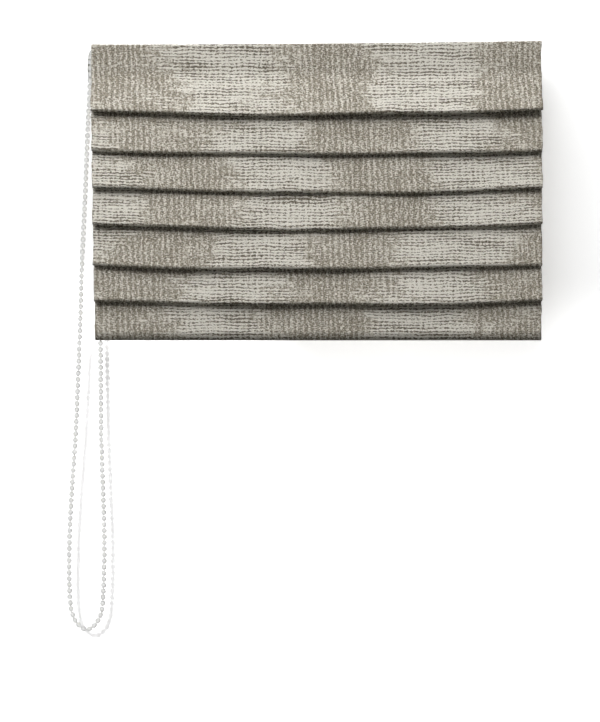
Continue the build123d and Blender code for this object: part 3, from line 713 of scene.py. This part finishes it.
tape_seams = [
    (seam_across(f"rod_tape_seam_{k + 1}", TAPE_SEAM_FRONT, ridge + TAPE_SEAM_RISE), CARRIERS[k + 1])
    for k, ridge in enumerate(RIDGES)
]
hem_seam = seam_across("bottom_hem_seam", HEM_SEAM_FRONT, HEM_SEAM_HEIGHT)
print("stitches in a tape seam", int(SEAM_WIDTH / STITCH_PITCH))

# %% [markdown]
# The thread is spun polyester, matt and off-white. It is drawn a little thicker than real, and
# the slant of its twist comes every 2.5 mm, coarser than real, so that both can be seen at all.


# %% Thread material and the seams' carriers
def thread_material():
    """Spun polyester thread, matt, with slanting plies."""
    made, tree, shader = material("spun_polyester_thread")
    place = add(tree, "TexCoord")
    ply = add(tree, "TexWave", {
        "Vector": place.outputs["Object"], "Scale": slanted(2.5), "Distortion": 0.6,
    }, wave_type="BANDS", bands_direction="DIAGONAL")
    tint = add(tree, "Mix", {
        "Factor": ply.outputs["Fac"], "A": linear("b5b0a4"), "B": linear("dcd8cc"),
    }, data_type="RGBA")
    bump = add(tree, "Bump", {"Height": ply.outputs["Fac"], "Strength": 0.5, "Distance": 0.1 * MM})
    fill(tree, shader, {
        "Base Color": tint.outputs["Result"], "Normal": bump.outputs["Normal"], "Roughness": 0.8,
    })
    return made


THREAD_FINISH = thread_material()
SEAM_INSET = 2.5
SEAM_STATION = 1 - (SIDE_HEM - SEAM_INSET) / HALF_WIDTH


def dress_seam(seam):
    """Gives a row of stitches its thread."""
    seam.data.materials.append(THREAD_FINISH)


for seam, carrier in tape_seams + [(hem_seam, "hem")]:
    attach(seam, carrier)
    dress_seam(seam)
for side, station in (("left", -SEAM_STATION), ("right", SEAM_STATION)):
    for k, carrier in enumerate(CARRIERS):
        first = 2 * k
        front = seam_down(f"side_seam_{side}_front_{k + 1}", station, first, first + 1)
        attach(front, carrier)
        dress_seam(front)
        if k < FOLDS:
            back = seam_down(f"side_seam_{side}_back_{k + 1}", station, first + 1, first + 2)
            turn_over(back)
            dress_seam(back)
print("seams dressed")

# %% [markdown]
# Two braided lift cords carry the ribs. Each winds on its drum, falls through an eye on every
# rib and ends in a knot below the anchor on the hem. Between two eyes a cord is a straight taut
# piece. It is cut at the eyes, because each stretch opens as its rib goes down. A piece between
# two bodies keeps its place and is attached to neither; the last piece rides on the hem. The
# first piece starts a little way round the drum, where the cord really lifts off its turns.

# %% Falls of the lift cords
CORD_RADIUS = 0.7
CORD_FRONT = 32.7
CORD_SIDES = (("left", -140.0), ("right", 140.0))
LIFT_OFF = [(30.9, 5.3), (32.2, 3.2), (32.7, 0.0)]
BELOW_DRUM = -4.0
EYE_DROP = 3.0
EYES = [ridge - EYE_DROP for ridge in RIDGES]
KNOT_TOP = -258.1
cord_pieces = []


def fall(name, x, points, upper, lower):
    """A taut stretch of lift cord as a mesh tube, carried by its body if upper and lower agree, else
    left in place.
    """
    route = [(x, -front, z) for front, z in points]
    tube = nurbs(name, route, CORD_RADIUS * MM)
    tube.data.resolution_u = 3
    bpy.context.view_layer.objects.active = tube
    tube.select_set(True)
    bpy.ops.object.convert(target="MESH")
    tube = bpy.context.object
    tube.select_set(False)
    tube.data.shade_smooth()
    line = line_of(name + "_centre", route)
    if upper != lower:
        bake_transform(tube)
    else:
        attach(tube, upper)
    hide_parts("lift_cord_left" if x < 0 else "lift_cord_right")
    cord_pieces.append(tube)


def straight(top, bottom, count=9):
    """Evenly spaced points straight down, as distance from the wall and height."""
    return [(CORD_FRONT, z) for z in np.linspace(top, bottom, count)]


for side, x in CORD_SIDES:
    lift_off = LIFT_OFF + straight(BELOW_DRUM, EYES[0], 6)
    fall(f"lift_cord_{side}_1", x, lift_off, "rail", "rib_1")
    for k in range(FOLDS - 1):
        stretch = straight(EYES[k], EYES[k + 1])
        fall(f"lift_cord_{side}_{k + 2}", x, stretch, CARRIERS[k + 1], CARRIERS[k + 2])
    fall(f"lift_cord_{side}_{FOLDS + 1}", x, straight(EYES[-1], KNOT_TOP), "hem", "hem")
print("cord pieces", len(cord_pieces))

# %% [markdown]
# On a drum the cord lies in nine close turns: seven for the whole travel and two that never
# leave it. They start where the fall meets the drum and go up over it. The stop below the anchor
# is an overhand knot pulled tight. Its line is a trefoil, the simplest curve that is truly
# knotted, with a short tail hanging out of it.

# %% Turns on the drums and knots
DRUM_AXIS = 24.0
TURNS = 9
TURN_PITCH = 1.42
TURN_STEPS = 16
COIL_RADIUS = 8.84
LIFT_OFF_ANGLE = 0.65
KNOT_STEPS = 24
KNOT_START = 0.3
KNOT_SIZE = 0.62
KNOT_DEPTH = 1.15
KNOT_DROP = 2.0
KNOT_SQUEEZE = 0.95
KNOT_TAIL = [(0.4, 0.3, 5.0), (0.9, 0.4, 9.0)]
windings, knots = [], []
for side, x in CORD_SIDES:
    coil = []
    for k in range(TURNS * TURN_STEPS + 1):
        angle = LIFT_OFF_ANGLE + 2 * math.pi * k / TURN_STEPS
        coil.append((
            x + TURN_PITCH * k / TURN_STEPS,
            -DRUM_AXIS - COIL_RADIUS * math.cos(angle),
            COIL_RADIUS * math.sin(angle),
        ))
    winding = nurbs(f"cord_turns_{side}", coil, CORD_RADIUS * MM)
    winding.data.resolution_u = 2
    windings.append(winding)
    trefoil = []
    for k in range(KNOT_STEPS + 1):
        t = KNOT_START + 2 * math.pi * k / KNOT_STEPS
        trefoil.append((
            x + KNOT_SIZE * (math.sin(t) + 2 * math.sin(2 * t)),
            -CORD_FRONT + KNOT_SIZE * (math.cos(t) - 2 * math.cos(2 * t)),
            KNOT_TOP - KNOT_DROP - KNOT_DEPTH * math.sin(3 * t),
        ))
    trefoil += [(x + right, -CORD_FRONT - out, KNOT_TOP - down) for right, out, down in KNOT_TAIL]
    knot = nurbs(f"cord_knot_{side}", trefoil, CORD_RADIUS * KNOT_SQUEEZE * MM)
    knot.data.resolution_u = 3
    knots.append(knot)
print("turns and knots", [w.name for w in windings + knots])

# %% [markdown]
# The cord is a braid of polyester: eight strands cross in two slants, which reads as small
# lozenges with dark gaps. Two sets of slanting bands, one mirrored, are multiplied for that. The
# colour follows the same bands, so the dark gaps are painted shade between the strands. The bands
# come every 3.3 mm, coarser than the real braid, so that they show.


# %% Cord material
def braided_cord_material():
    """Braided polyester cord, white, with small crossing strands and painted shade between them."""
    made, tree, shader = material("braided_polyester_cord")
    place = add(tree, "TexCoord")
    mirrored = add(tree, "Mapping", {"Vector": place.outputs["Object"], "Scale": (-1, -1, 1)})
    bands = [
        add(tree, "TexWave", {"Vector": vector, "Scale": slanted(3.3), "Distortion": 0.4},
            wave_type="BANDS", bands_direction="DIAGONAL").outputs["Fac"]
        for vector in (place.outputs["Object"], mirrored.outputs[0])
    ]
    lozenges = add(tree, "Math", {0: bands[0], 1: bands[1]}, operation="MULTIPLY").outputs[0]
    # Painted shade: the colour is darker where the bands are low, in the gaps between the strands.
    tint = add(tree, "Mix", {
        "Factor": lozenges, "A": linear("c4c3bd"), "B": linear("efeeea"),
    }, data_type="RGBA")
    bump = add(tree, "Bump", {"Height": lozenges, "Strength": 0.7, "Distance": 0.15 * MM})
    fill(tree, shader, {
        "Base Color": tint.outputs["Result"], "Normal": bump.outputs["Normal"],
        "Roughness": 0.7, "Sheen Weight": 0.1,
    })
    return made


CORD = braided_cord_material()
for piece in cord_pieces + windings + knots:
    piece.data.materials.append(CORD)
for piece, body, node in (
    (windings[0], "drive", "lift_cord_left"), (windings[1], "drive", "lift_cord_right"),
    (knots[0], "hem", "lift_cord_left"), (knots[1], "hem", "lift_cord_right"),
):
    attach(piece, body)
    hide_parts(node)
print("cords dressed")

# %% [markdown]
# Now the hard parts. Powder coat is paint baked on as dust: it is smooth in colour but never
# quite flat, with a faint orange-peel skin about 1.5 mm across that breaks up its highlights.
# The rail under it was pressed through a die, which leaves the finest of lines along its length.
# They are drawn 1.1 mm apart, much coarser than real, so that they show.


# %% Powder coat for rail and brackets
def powder_coat_material(name, tone, shade, die_lines):
    """White polyester powder coat with orange peel, over drawn or pressed metal."""
    made, tree, shader = material(name)
    place = add(tree, "TexCoord").outputs["Object"]
    peel = add(tree, "TexNoise", {"Vector": place, "Scale": every(1.54), "Detail": 2.0})
    stretched = add(tree, "Mapping", {
        "Vector": place, "Scale": (every(500), every(1.11), every(1.11)),
    })
    lines = add(tree, "TexNoise", {"Vector": stretched.outputs[0], "Scale": 1.0, "Detail": 1.0})
    cloud = add(tree, "TexNoise", {"Vector": place, "Scale": every(22.2), "Detail": 3.0})
    tint = add(tree, "Mix", {
        "Factor": cloud.outputs["Fac"], "A": linear(shade), "B": linear(tone),
    }, data_type="RGBA")
    relief = add(tree, "Math", {
        0: lines.outputs["Fac"], 1: die_lines, 2: peel.outputs["Fac"],
    }, operation="MULTIPLY_ADD")
    bump = add(tree, "Bump", {"Height": relief.outputs[0], "Strength": 0.22, "Distance": 0.12 * MM})
    gloss = add(tree, "MapRange", {"Value": cloud.outputs["Fac"], "To Min": 0.3, "To Max": 0.44})
    fill(tree, shader, {
        "Base Color": tint.outputs["Result"], "Roughness": gloss.outputs[0],
        "Normal": bump.outputs["Normal"],
    })
    return made


RAIL_FINISH = powder_coat_material("powder_coated_aluminium", "eeeeea", "e6e6e1", 0.8)
BRACKET_FINISH = powder_coat_material("powder_coated_steel", "e9e9e5", "dfdfda", 0.0)
print("rail finish", RAIL_FINISH.name)

# %% [markdown]
# Clutch, wheel, drums, cradles and levers are injection moulded from acetal. Moulded plastic
# has a slightly milky depth, soft flow clouds and, where the mould was spark eroded, a fine
# pebbled skin, drawn with pebbles of half a millimetre so that it shows. The clips and anchors
# are natural nylon, which lets light through.


# %% Moulded plastics
def moulded_acetal_material(name, tone, shade):
    """Moulded acetal with flow clouds and a fine spark-eroded skin."""
    made, tree, shader = material(name)
    place = add(tree, "TexCoord").outputs["Object"]
    flow = add(tree, "TexNoise", {
        "Vector": place, "Scale": every(14.3), "Detail": 3.0, "Distortion": 1.5,
    })
    skin = add(tree, "TexVoronoi", {"Vector": place, "Scale": every(0.455)})
    tint = add(tree, "Mix", {
        "Factor": flow.outputs["Fac"], "A": linear(shade), "B": linear(tone),
    }, data_type="RGBA")
    bump = add(tree, "Bump", {
        "Height": skin.outputs["Distance"], "Strength": 0.25, "Distance": 0.05 * MM,
    })
    gloss = add(tree, "MapRange", {"Value": flow.outputs["Fac"], "To Min": 0.34, "To Max": 0.5})
    fill(tree, shader, {
        "Base Color": tint.outputs["Result"], "Roughness": gloss.outputs[0],
        "Normal": bump.outputs["Normal"], "IOR": 1.48, "Subsurface Weight": 0.12,
        "Subsurface Radius": (0.0015, 0.0015, 0.0013), "Subsurface Scale": 0.5,
    })
    return made


def natural_nylon_material():
    """Natural moulded nylon, cloudy and half clear."""
    made, tree, shader = material("natural_nylon")
    place = add(tree, "TexCoord").outputs["Object"]
    cloud = add(tree, "TexNoise", {"Vector": place, "Scale": every(4.55), "Detail": 2.0})
    tint = add(tree, "Mix", {
        "Factor": cloud.outputs["Fac"], "A": linear("dcdccf"), "B": linear("eeeee6"),
    }, data_type="RGBA")
    gloss = add(tree, "MapRange", {"Value": cloud.outputs["Fac"], "To Min": 0.22, "To Max": 0.38})
    fill(tree, shader, {
        "Base Color": tint.outputs["Result"], "Roughness": gloss.outputs[0], "IOR": 1.53,
        "Transmission Weight": 0.35,
    })
    return made


WHITE_ACETAL = moulded_acetal_material("moulded_acetal_white", "ececE8", "e0e0db")
GREY_ACETAL = moulded_acetal_material("moulded_acetal_grey", "b9bab8", "a9aaa8")
NYLON = natural_nylon_material()
print("plastics", WHITE_ACETAL.name, GREY_ACETAL.name, NYLON.name)

# %% [markdown]
# The shaft and the bottom bar are bare aluminium as it leaves the die: bright, with long drawing
# lines and a slightly uneven sheen. The brake spring is hardened wire, darker, with a straw tint
# from its heat treatment. The ribs are pultruded glass fibre: long pale fibres in clear resin.
# The lines are drawn 0.6 mm apart and the fibres 0.4 mm apart, coarser than real, to show.


# %% Bare metals and glass fibre
def mill_aluminium_material():
    """Bare extruded aluminium with drawing lines along X."""
    made, tree, shader = material("mill_aluminium")
    place = add(tree, "TexCoord")
    stretched = add(tree, "Mapping", {
        "Vector": place.outputs["Object"], "Scale": (every(333), every(0.625), every(0.625)),
    })
    lines = add(tree, "TexNoise", {"Vector": stretched.outputs[0], "Scale": 1.0, "Detail": 3.0})
    tint = add(tree, "Mix", {
        "Factor": lines.outputs["Fac"], "A": linear("b9bbbd"), "B": linear("dadbdc"),
    }, data_type="RGBA")
    gloss = add(tree, "MapRange", {"Value": lines.outputs["Fac"], "To Min": 0.24, "To Max": 0.46})
    bump = add(tree, "Bump", {"Height": lines.outputs["Fac"], "Strength": 0.2, "Distance": 0.05 * MM})
    fill(tree, shader, {
        "Base Color": tint.outputs["Result"], "Roughness": gloss.outputs[0],
        "Normal": bump.outputs["Normal"], "Metallic": 1.0,
    })
    return made


def spring_steel_material():
    """Hardened spring wire with a straw temper tint."""
    made, tree, shader = material("tempered_spring_steel")
    place = add(tree, "TexCoord").outputs["Object"]
    temper = add(tree, "TexNoise", {"Vector": place, "Scale": every(5.56), "Detail": 2.0})
    tint = add(tree, "Mix", {
        "Factor": temper.outputs["Fac"], "A": linear("85817a"), "B": linear("a8987c"),
    }, data_type="RGBA")
    gloss = add(tree, "MapRange", {"Value": temper.outputs["Fac"], "To Min": 0.25, "To Max": 0.4})
    fill(tree, shader, {
        "Base Color": tint.outputs["Result"], "Roughness": gloss.outputs[0], "Metallic": 1.0,
    })
    return made


def glass_fibre_material():
    """Pultruded glass fibre, pale green-yellow, with long fibres."""
    made, tree, shader = material("pultruded_glass_fibre")
    place = add(tree, "TexCoord")
    stretched = add(tree, "Mapping", {
        "Vector": place.outputs["Object"], "Scale": (every(125), every(0.385), every(0.385)),
    })
    fibres = add(tree, "TexNoise", {"Vector": stretched.outputs[0], "Scale": 1.0, "Detail": 2.0})
    tint = add(tree, "Mix", {
        "Factor": fibres.outputs["Fac"], "A": linear("b9bb9c"), "B": linear("e4e4cf"),
    }, data_type="RGBA")
    bump = add(tree, "Bump", {"Height": fibres.outputs["Fac"], "Strength": 0.2, "Distance": 0.05 * MM})
    fill(tree, shader, {
        "Base Color": tint.outputs["Result"], "Normal": bump.outputs["Normal"],
        "Roughness": 0.3, "IOR": 1.55,
    })
    return made


ALUMINIUM = mill_aluminium_material()
SPRING_STEEL = spring_steel_material()
GLASS_FIBRE = glass_fibre_material()
print("metals", ALUMINIUM.name, SPRING_STEEL.name)

# %% [markdown]
# The rod tapes are plain woven polyester, a tight over-and-under of flat threads. It is drawn
# at 0.9 mm instead of the real 0.4 mm so that it shows. The rail carries the hook half of a
# hook and loop tape, rows of little stiff hooks, and the cloth the loop half, a soft fleece.
# Between the hooks and between the loops the colour is darker: painted shade.


# %% Tapes
def woven_tape_material():
    """Plain woven white polyester tape."""
    made, tree, shader = material("woven_polyester_tape")
    place = add(tree, "TexCoord").outputs["Object"]
    spread = add(tree, "Mapping", {"Vector": place, "Scale": (every(0.9), 1.0, every(0.9))})
    parts = add(tree, "SeparateXYZ", {"Vector": spread.outputs[0]})
    warp, weft = [
        add(tree, "Math", {0: add(tree, "Math", {
            0: parts.outputs[axis], 1: math.pi,
        }, operation="MULTIPLY").outputs[0]}, operation="SINE").outputs[0]
        for axis in ("X", "Z")
    ]
    crossing = add(tree, "Math", {0: warp, 1: weft}, operation="MULTIPLY").outputs[0]
    fuzz = add(tree, "TexNoise", {"Vector": place, "Scale": every(1.11), "Detail": 2.0})
    tint = add(tree, "Mix", {
        "Factor": fuzz.outputs["Fac"], "A": linear("d2d1ca"), "B": linear("eeede8"),
    }, data_type="RGBA")
    relief = add(tree, "Math", {
        0: crossing, 1: 0.5, 2: fuzz.outputs["Fac"],
    }, operation="MULTIPLY_ADD")
    bump = add(tree, "Bump", {"Height": relief.outputs[0], "Strength": 0.5, "Distance": 0.12 * MM})
    fill(tree, shader, {
        "Base Color": tint.outputs["Result"], "Normal": bump.outputs["Normal"], "Roughness": 0.8,
    })
    return made


def hook_or_loop_material(name, tone, shade, spacing, disorder):
    """White hook tape with its rows of hooks, or loop tape with its fleece, with painted shade between
    them.
    """
    made, tree, shader = material(name)
    place = add(tree, "TexCoord")
    cells = add(tree, "TexVoronoi", {
        "Vector": place.outputs["Object"], "Scale": every(spacing), "Randomness": disorder,
    })
    # Painted shade: the colour darkens from each hook's or loop's middle towards the gaps between
    # them.
    tint = add(tree, "Mix", {
        "Factor": cells.outputs["Distance"], "A": linear(tone), "B": linear(shade),
    }, data_type="RGBA")
    bump = add(tree, "Bump", {
        "Height": cells.outputs["Distance"], "Strength": 0.9, "Distance": 0.4 * MM,
    }, invert=True)
    fill(tree, shader, {
        "Base Color": tint.outputs["Result"], "Normal": bump.outputs["Normal"], "Roughness": 0.7,
    })
    return made


WOVEN_TAPE = woven_tape_material()
HOOK_TAPE = hook_or_loop_material("moulded_hook_tape", "ecebe6", "b0afa9", 1.3, 0.2)
LOOP_TAPE = hook_or_loop_material("brushed_loop_tape", "f0efea", "c8c7c0", 0.7, 1.0)
print("tapes", WOVEN_TAPE.name, HOOK_TAPE.name, LOOP_TAPE.name)

# %% [markdown]
# Every node of the CAD model now gets its finish. The meshes stay as they are: only the
# materials in their slots change.

# %% Finish every CAD node
FINISHES = {
    "headrail": RAIL_FINISH,
    "wall_bracket": BRACKET_FINISH,
    "bracket_lever": WHITE_ACETAL,
    "clutch_housing": WHITE_ACETAL,
    "clutch_driver": GREY_ACETAL,
    "chain_wheel": WHITE_ACETAL,
    "end_cap": WHITE_ACETAL,
    "shaft_journal": GREY_ACETAL,
    "cord_drum": GREY_ACETAL,
    "drum_cradle": WHITE_ACETAL,
    "wrap_spring": SPRING_STEEL,
    "drive_shaft": ALUMINIUM,
    "bottom_bar": ALUMINIUM,
    "rod_tape": WOVEN_TAPE,
    "rod": GLASS_FIBRE,
    "ring_clips": NYLON,
    "cord_anchors": NYLON,
    "hook_tape": HOOK_TAPE,
    "loop_tape": LOOP_TAPE,
    "fabric": CLOTH,
    "lift_cord": CORD,
    "pull_chain": BEAD,
}
for name, node in NODES.items():
    kind = next(kind for kind in FINISHES if name.startswith(kind))
    if not node.data.materials:
        node.data.materials.append(FINISHES[kind])
    for k in range(len(node.data.materials)):
        node.data.materials[k] = FINISHES[kind]
print("finished nodes", len(NODES))

# %% [markdown]
# The room is only hinted at: a white wall close behind the blind, a pale floor well below it,
# and soft lamps. The wall is there for the camera only: other rays and a camera behind it go
# straight through. It glows a little, more below the blind than behind it, and least in a round
# patch behind the chain, which gets a lamp of its own later. The stronger glow below the blind
# is painted light that washes out the blind's shadow there. The floor is dark to bounced light,
# so that it doesn't brighten the folds from below.

# %% Wall and floor
WALL_PLACE = (0, 0.0005, 0)
FLOOR_PLACE = (0, 0, -0.75)
GLOW_BELOW = 0.9
GLOW_BEHIND = 0.35
GLOW_HEIGHTS = (-0.31, -0.2)
GLOW_PATCH = 0.3
PATCH_CENTRE = (-0.214, -0.44, 0.0)
PATCH_RADII = (0.15, 0.18)
FLOOR_GLOW = 0.55


def wall_material():
    """White wall for the camera in front; clear for other rays and from behind."""
    made = bpy.data.materials.new("stage_wall")
    made.use_nodes = True
    tree = made.node_tree
    tree.nodes.clear()
    path = add(tree, "LightPath")
    side = add(tree, "NewGeometry")
    place = add(tree, "TexCoord").outputs["Object"]
    height = add(tree, "SeparateXYZ", {"Vector": place})
    # Painted light: the wall glows more below the blind, which washes out the blind's shadow there.
    glow = add(tree, "MapRange", {
        "Value": height.outputs["Y"], "From Min": GLOW_HEIGHTS[0], "From Max": GLOW_HEIGHTS[1],
        "To Min": GLOW_BELOW, "To Max": GLOW_BEHIND,
    }, interpolation_type="SMOOTHSTEP")
    away = add(tree, "VectorMath", {0: place, 1: PATCH_CENTRE}, operation="DISTANCE")
    glow = add(tree, "MapRange", {
        "Value": away.outputs["Value"], "From Min": PATCH_RADII[0], "From Max": PATCH_RADII[1],
        "To Min": GLOW_PATCH, "To Max": glow.outputs[0],
    }, interpolation_type="SMOOTHSTEP")
    matt = add(tree, "BsdfDiffuse", {"Color": linear("ffffff")})
    shine = add(tree, "Emission", {"Color": linear("ffffff"), "Strength": glow.outputs[0]})
    lit = add(tree, "AddShader", {0: matt.outputs[0], 1: shine.outputs[0]})
    clear = add(tree, "BsdfTransparent")
    seen = add(tree, "Math", {0: 1.0, 1: side.outputs["Backfacing"]}, operation="SUBTRACT")
    seen = add(tree, "Math", {
        0: seen.outputs[0], 1: path.outputs["Is Camera Ray"],
    }, operation="MULTIPLY")
    mixed = add(tree, "MixShader", {0: seen.outputs[0], 1: clear.outputs[0], 2: lit.outputs[0]})
    add(tree, "OutputMaterial", {"Surface": mixed.outputs[0]})
    return made


def floor_material():
    """Pale painted floor for the camera, dark for light that bounces off it."""
    made, tree, shader = material("stage_floor")
    place = add(tree, "TexCoord")
    mottle = add(tree, "TexNoise", {"Vector": place.outputs["Object"], "Scale": every(333)})
    tint = add(tree, "Mix", {
        "Factor": mottle.outputs["Fac"], "A": linear("e4e3e0"), "B": linear("e9e8e5"),
    }, data_type="RGBA")
    path = add(tree, "LightPath")
    shown = add(tree, "Mix", {
        "Factor": path.outputs["Is Diffuse Ray"], "A": tint.outputs["Result"], "B": linear("4a4a48"),
    }, data_type="RGBA")
    glow = add(tree, "Math", {
        0: path.outputs["Is Camera Ray"], 1: FLOOR_GLOW,
    }, operation="MULTIPLY")
    fill(tree, shader, {
        "Base Color": shown.outputs["Result"], "Roughness": 0.6,
        "Emission Color": linear("f4f3f0"), "Emission Strength": glow.outputs[0],
    })
    return made


bpy.ops.mesh.primitive_plane_add(size=6, location=WALL_PLACE, rotation=(math.pi / 2, 0, 0))
wall = bpy.context.object
wall.name = "stage_wall"
wall.data.materials.append(wall_material())
bpy.ops.mesh.primitive_plane_add(size=8, location=FLOOR_PLACE)
floor = bpy.context.object
floor.name = "stage_floor"
floor.data.materials.append(floor_material())
print("stage", wall.name, floor.name)

# %% [markdown]
# The key lamp stands to the upper left in front, so that the blind throws a soft shadow to the
# right on the wall and each fold shades the strip below it. A weak fill lamp stands on the
# right, and a back lamp lights the ribs and cords for a camera behind. All that light from above
# would leave white beads bright on top and dark below, so the chain takes none of it. It has two
# small level lamps of its own, in front and behind, and light linking keeps them off the rest.

# %% Lamps for the blind and for the chain
CHAIN_LIT = (-0.22, -0.03, -0.33)


def aimed(lamp, name, target, power):
    """Names a new lamp, sets its power in watts and turns it to face a target."""
    lamp.name = name
    lamp.data.energy = power
    aim = Vector(target) - lamp.location
    lamp.rotation_euler = aim.to_track_quat("-Z", "Y").to_euler()
    return lamp


def area_lamp(name, place, target, size, power):
    """A soft square lamp that faces a target."""
    bpy.ops.object.light_add(type="AREA", location=place)
    lamp = aimed(bpy.context.object, name, target, power)
    lamp.data.size = size
    return lamp


def collected(name, pieces):
    """A collection of pieces for light linking."""
    made = bpy.data.collections.new(name)
    for piece in pieces:
        made.objects.link(piece)
    return made


chain_pieces = (chain_string, chain_beads, wheel_string)
chain_only = collected("chain_only", chain_pieces)
all_but_chain = collected("all_but_chain", chain_pieces)
for entry in all_but_chain.collection_objects:
    entry.light_linking.link_state = "EXCLUDE"
blind_lamps = [
    area_lamp("key_lamp", (-0.46, -1.1, 1.36), target=(0, -0.04, -0.15), size=1.5, power=43.0),
    area_lamp("fill_lamp", (0.9, -1.3, 1.5), target=(0, -0.04, -0.2), size=1.2, power=2.0),
    area_lamp("back_lamp", (0.6, 1.8, 0.8), target=(0, 0, -0.2), size=1.5, power=42.0),
]
chain_lamps = [
    area_lamp("chain_front_lamp", (-0.22, -1.3, -0.33), target=CHAIN_LIT, size=0.4, power=13.0),
    area_lamp("chain_back_lamp", (-0.22, 1.3, -0.33), target=CHAIN_LIT, size=0.4, power=9.0),
]
for lamp in blind_lamps:
    lamp.light_linking.receiver_collection = all_but_chain
for lamp in chain_lamps:
    lamp.light_linking.receiver_collection = chain_only
print("lamps", [lamp.name for lamp in blind_lamps + chain_lamps])

# %% [markdown]
# The photograph shows a faint, rather sharp shadow of the chain on the wall, a little to its
# right. It comes from a small spot lamp to the left that lights only the wall and is blocked
# only by the chain. Its pool of light covers the patch where the wall glows less, so that no
# edge of the pool can be seen.

# %% The chain's shadow
bpy.ops.object.light_add(type="SPOT", location=(-0.5, -1.224, -0.02))
spot = aimed(bpy.context.object, "wall_spot", target=(-0.214, 0, -0.44), power=50.0)
spot.data.shadow_soft_size = 0.015
spot.data.spot_size = math.radians(22)
spot.data.spot_blend = 0.2
spot.light_linking.receiver_collection = collected("wall_only", [wall])
spot.light_linking.blocker_collection = chain_only
print("shadow lamp", spot.name)

# %% [markdown]
# The world is a white backdrop where the camera, a reflection or a clear part shows it. As a
# light it is dim, and brighter from above, so that the undersides of the folds stay dark.

# %% World
SKY_AT_HORIZON = 0.03
SKY_OVERHEAD = 0.4
world = bpy.data.worlds.new("studio")
bpy.context.scene.world = world
world.use_nodes = True
sky = world.node_tree
rays = add(sky, "LightPath")
shown = rays.outputs["Is Camera Ray"]
for kind in ("Is Glossy Ray", "Is Transmission Ray"):
    shown = add(sky, "Math", {0: shown, 1: rays.outputs[kind]}, operation="MAXIMUM").outputs[0]
way = add(sky, "SeparateXYZ", {"Vector": add(sky, "TexCoord").outputs["Generated"]})
dome = add(sky, "MapRange", {
    "Value": way.outputs["Z"], "To Min": SKY_AT_HORIZON, "To Max": SKY_OVERHEAD,
})
strength = add(sky, "MapRange", {"Value": shown, "To Min": dome.outputs[0], "To Max": 1.0})
fill(sky, sky.nodes["Background"], {
    "Color": linear("ffffff"), "Strength": strength.outputs[0],
})
bpy.context.scene.view_settings.view_transform = "Standard"
print("world", world.name)
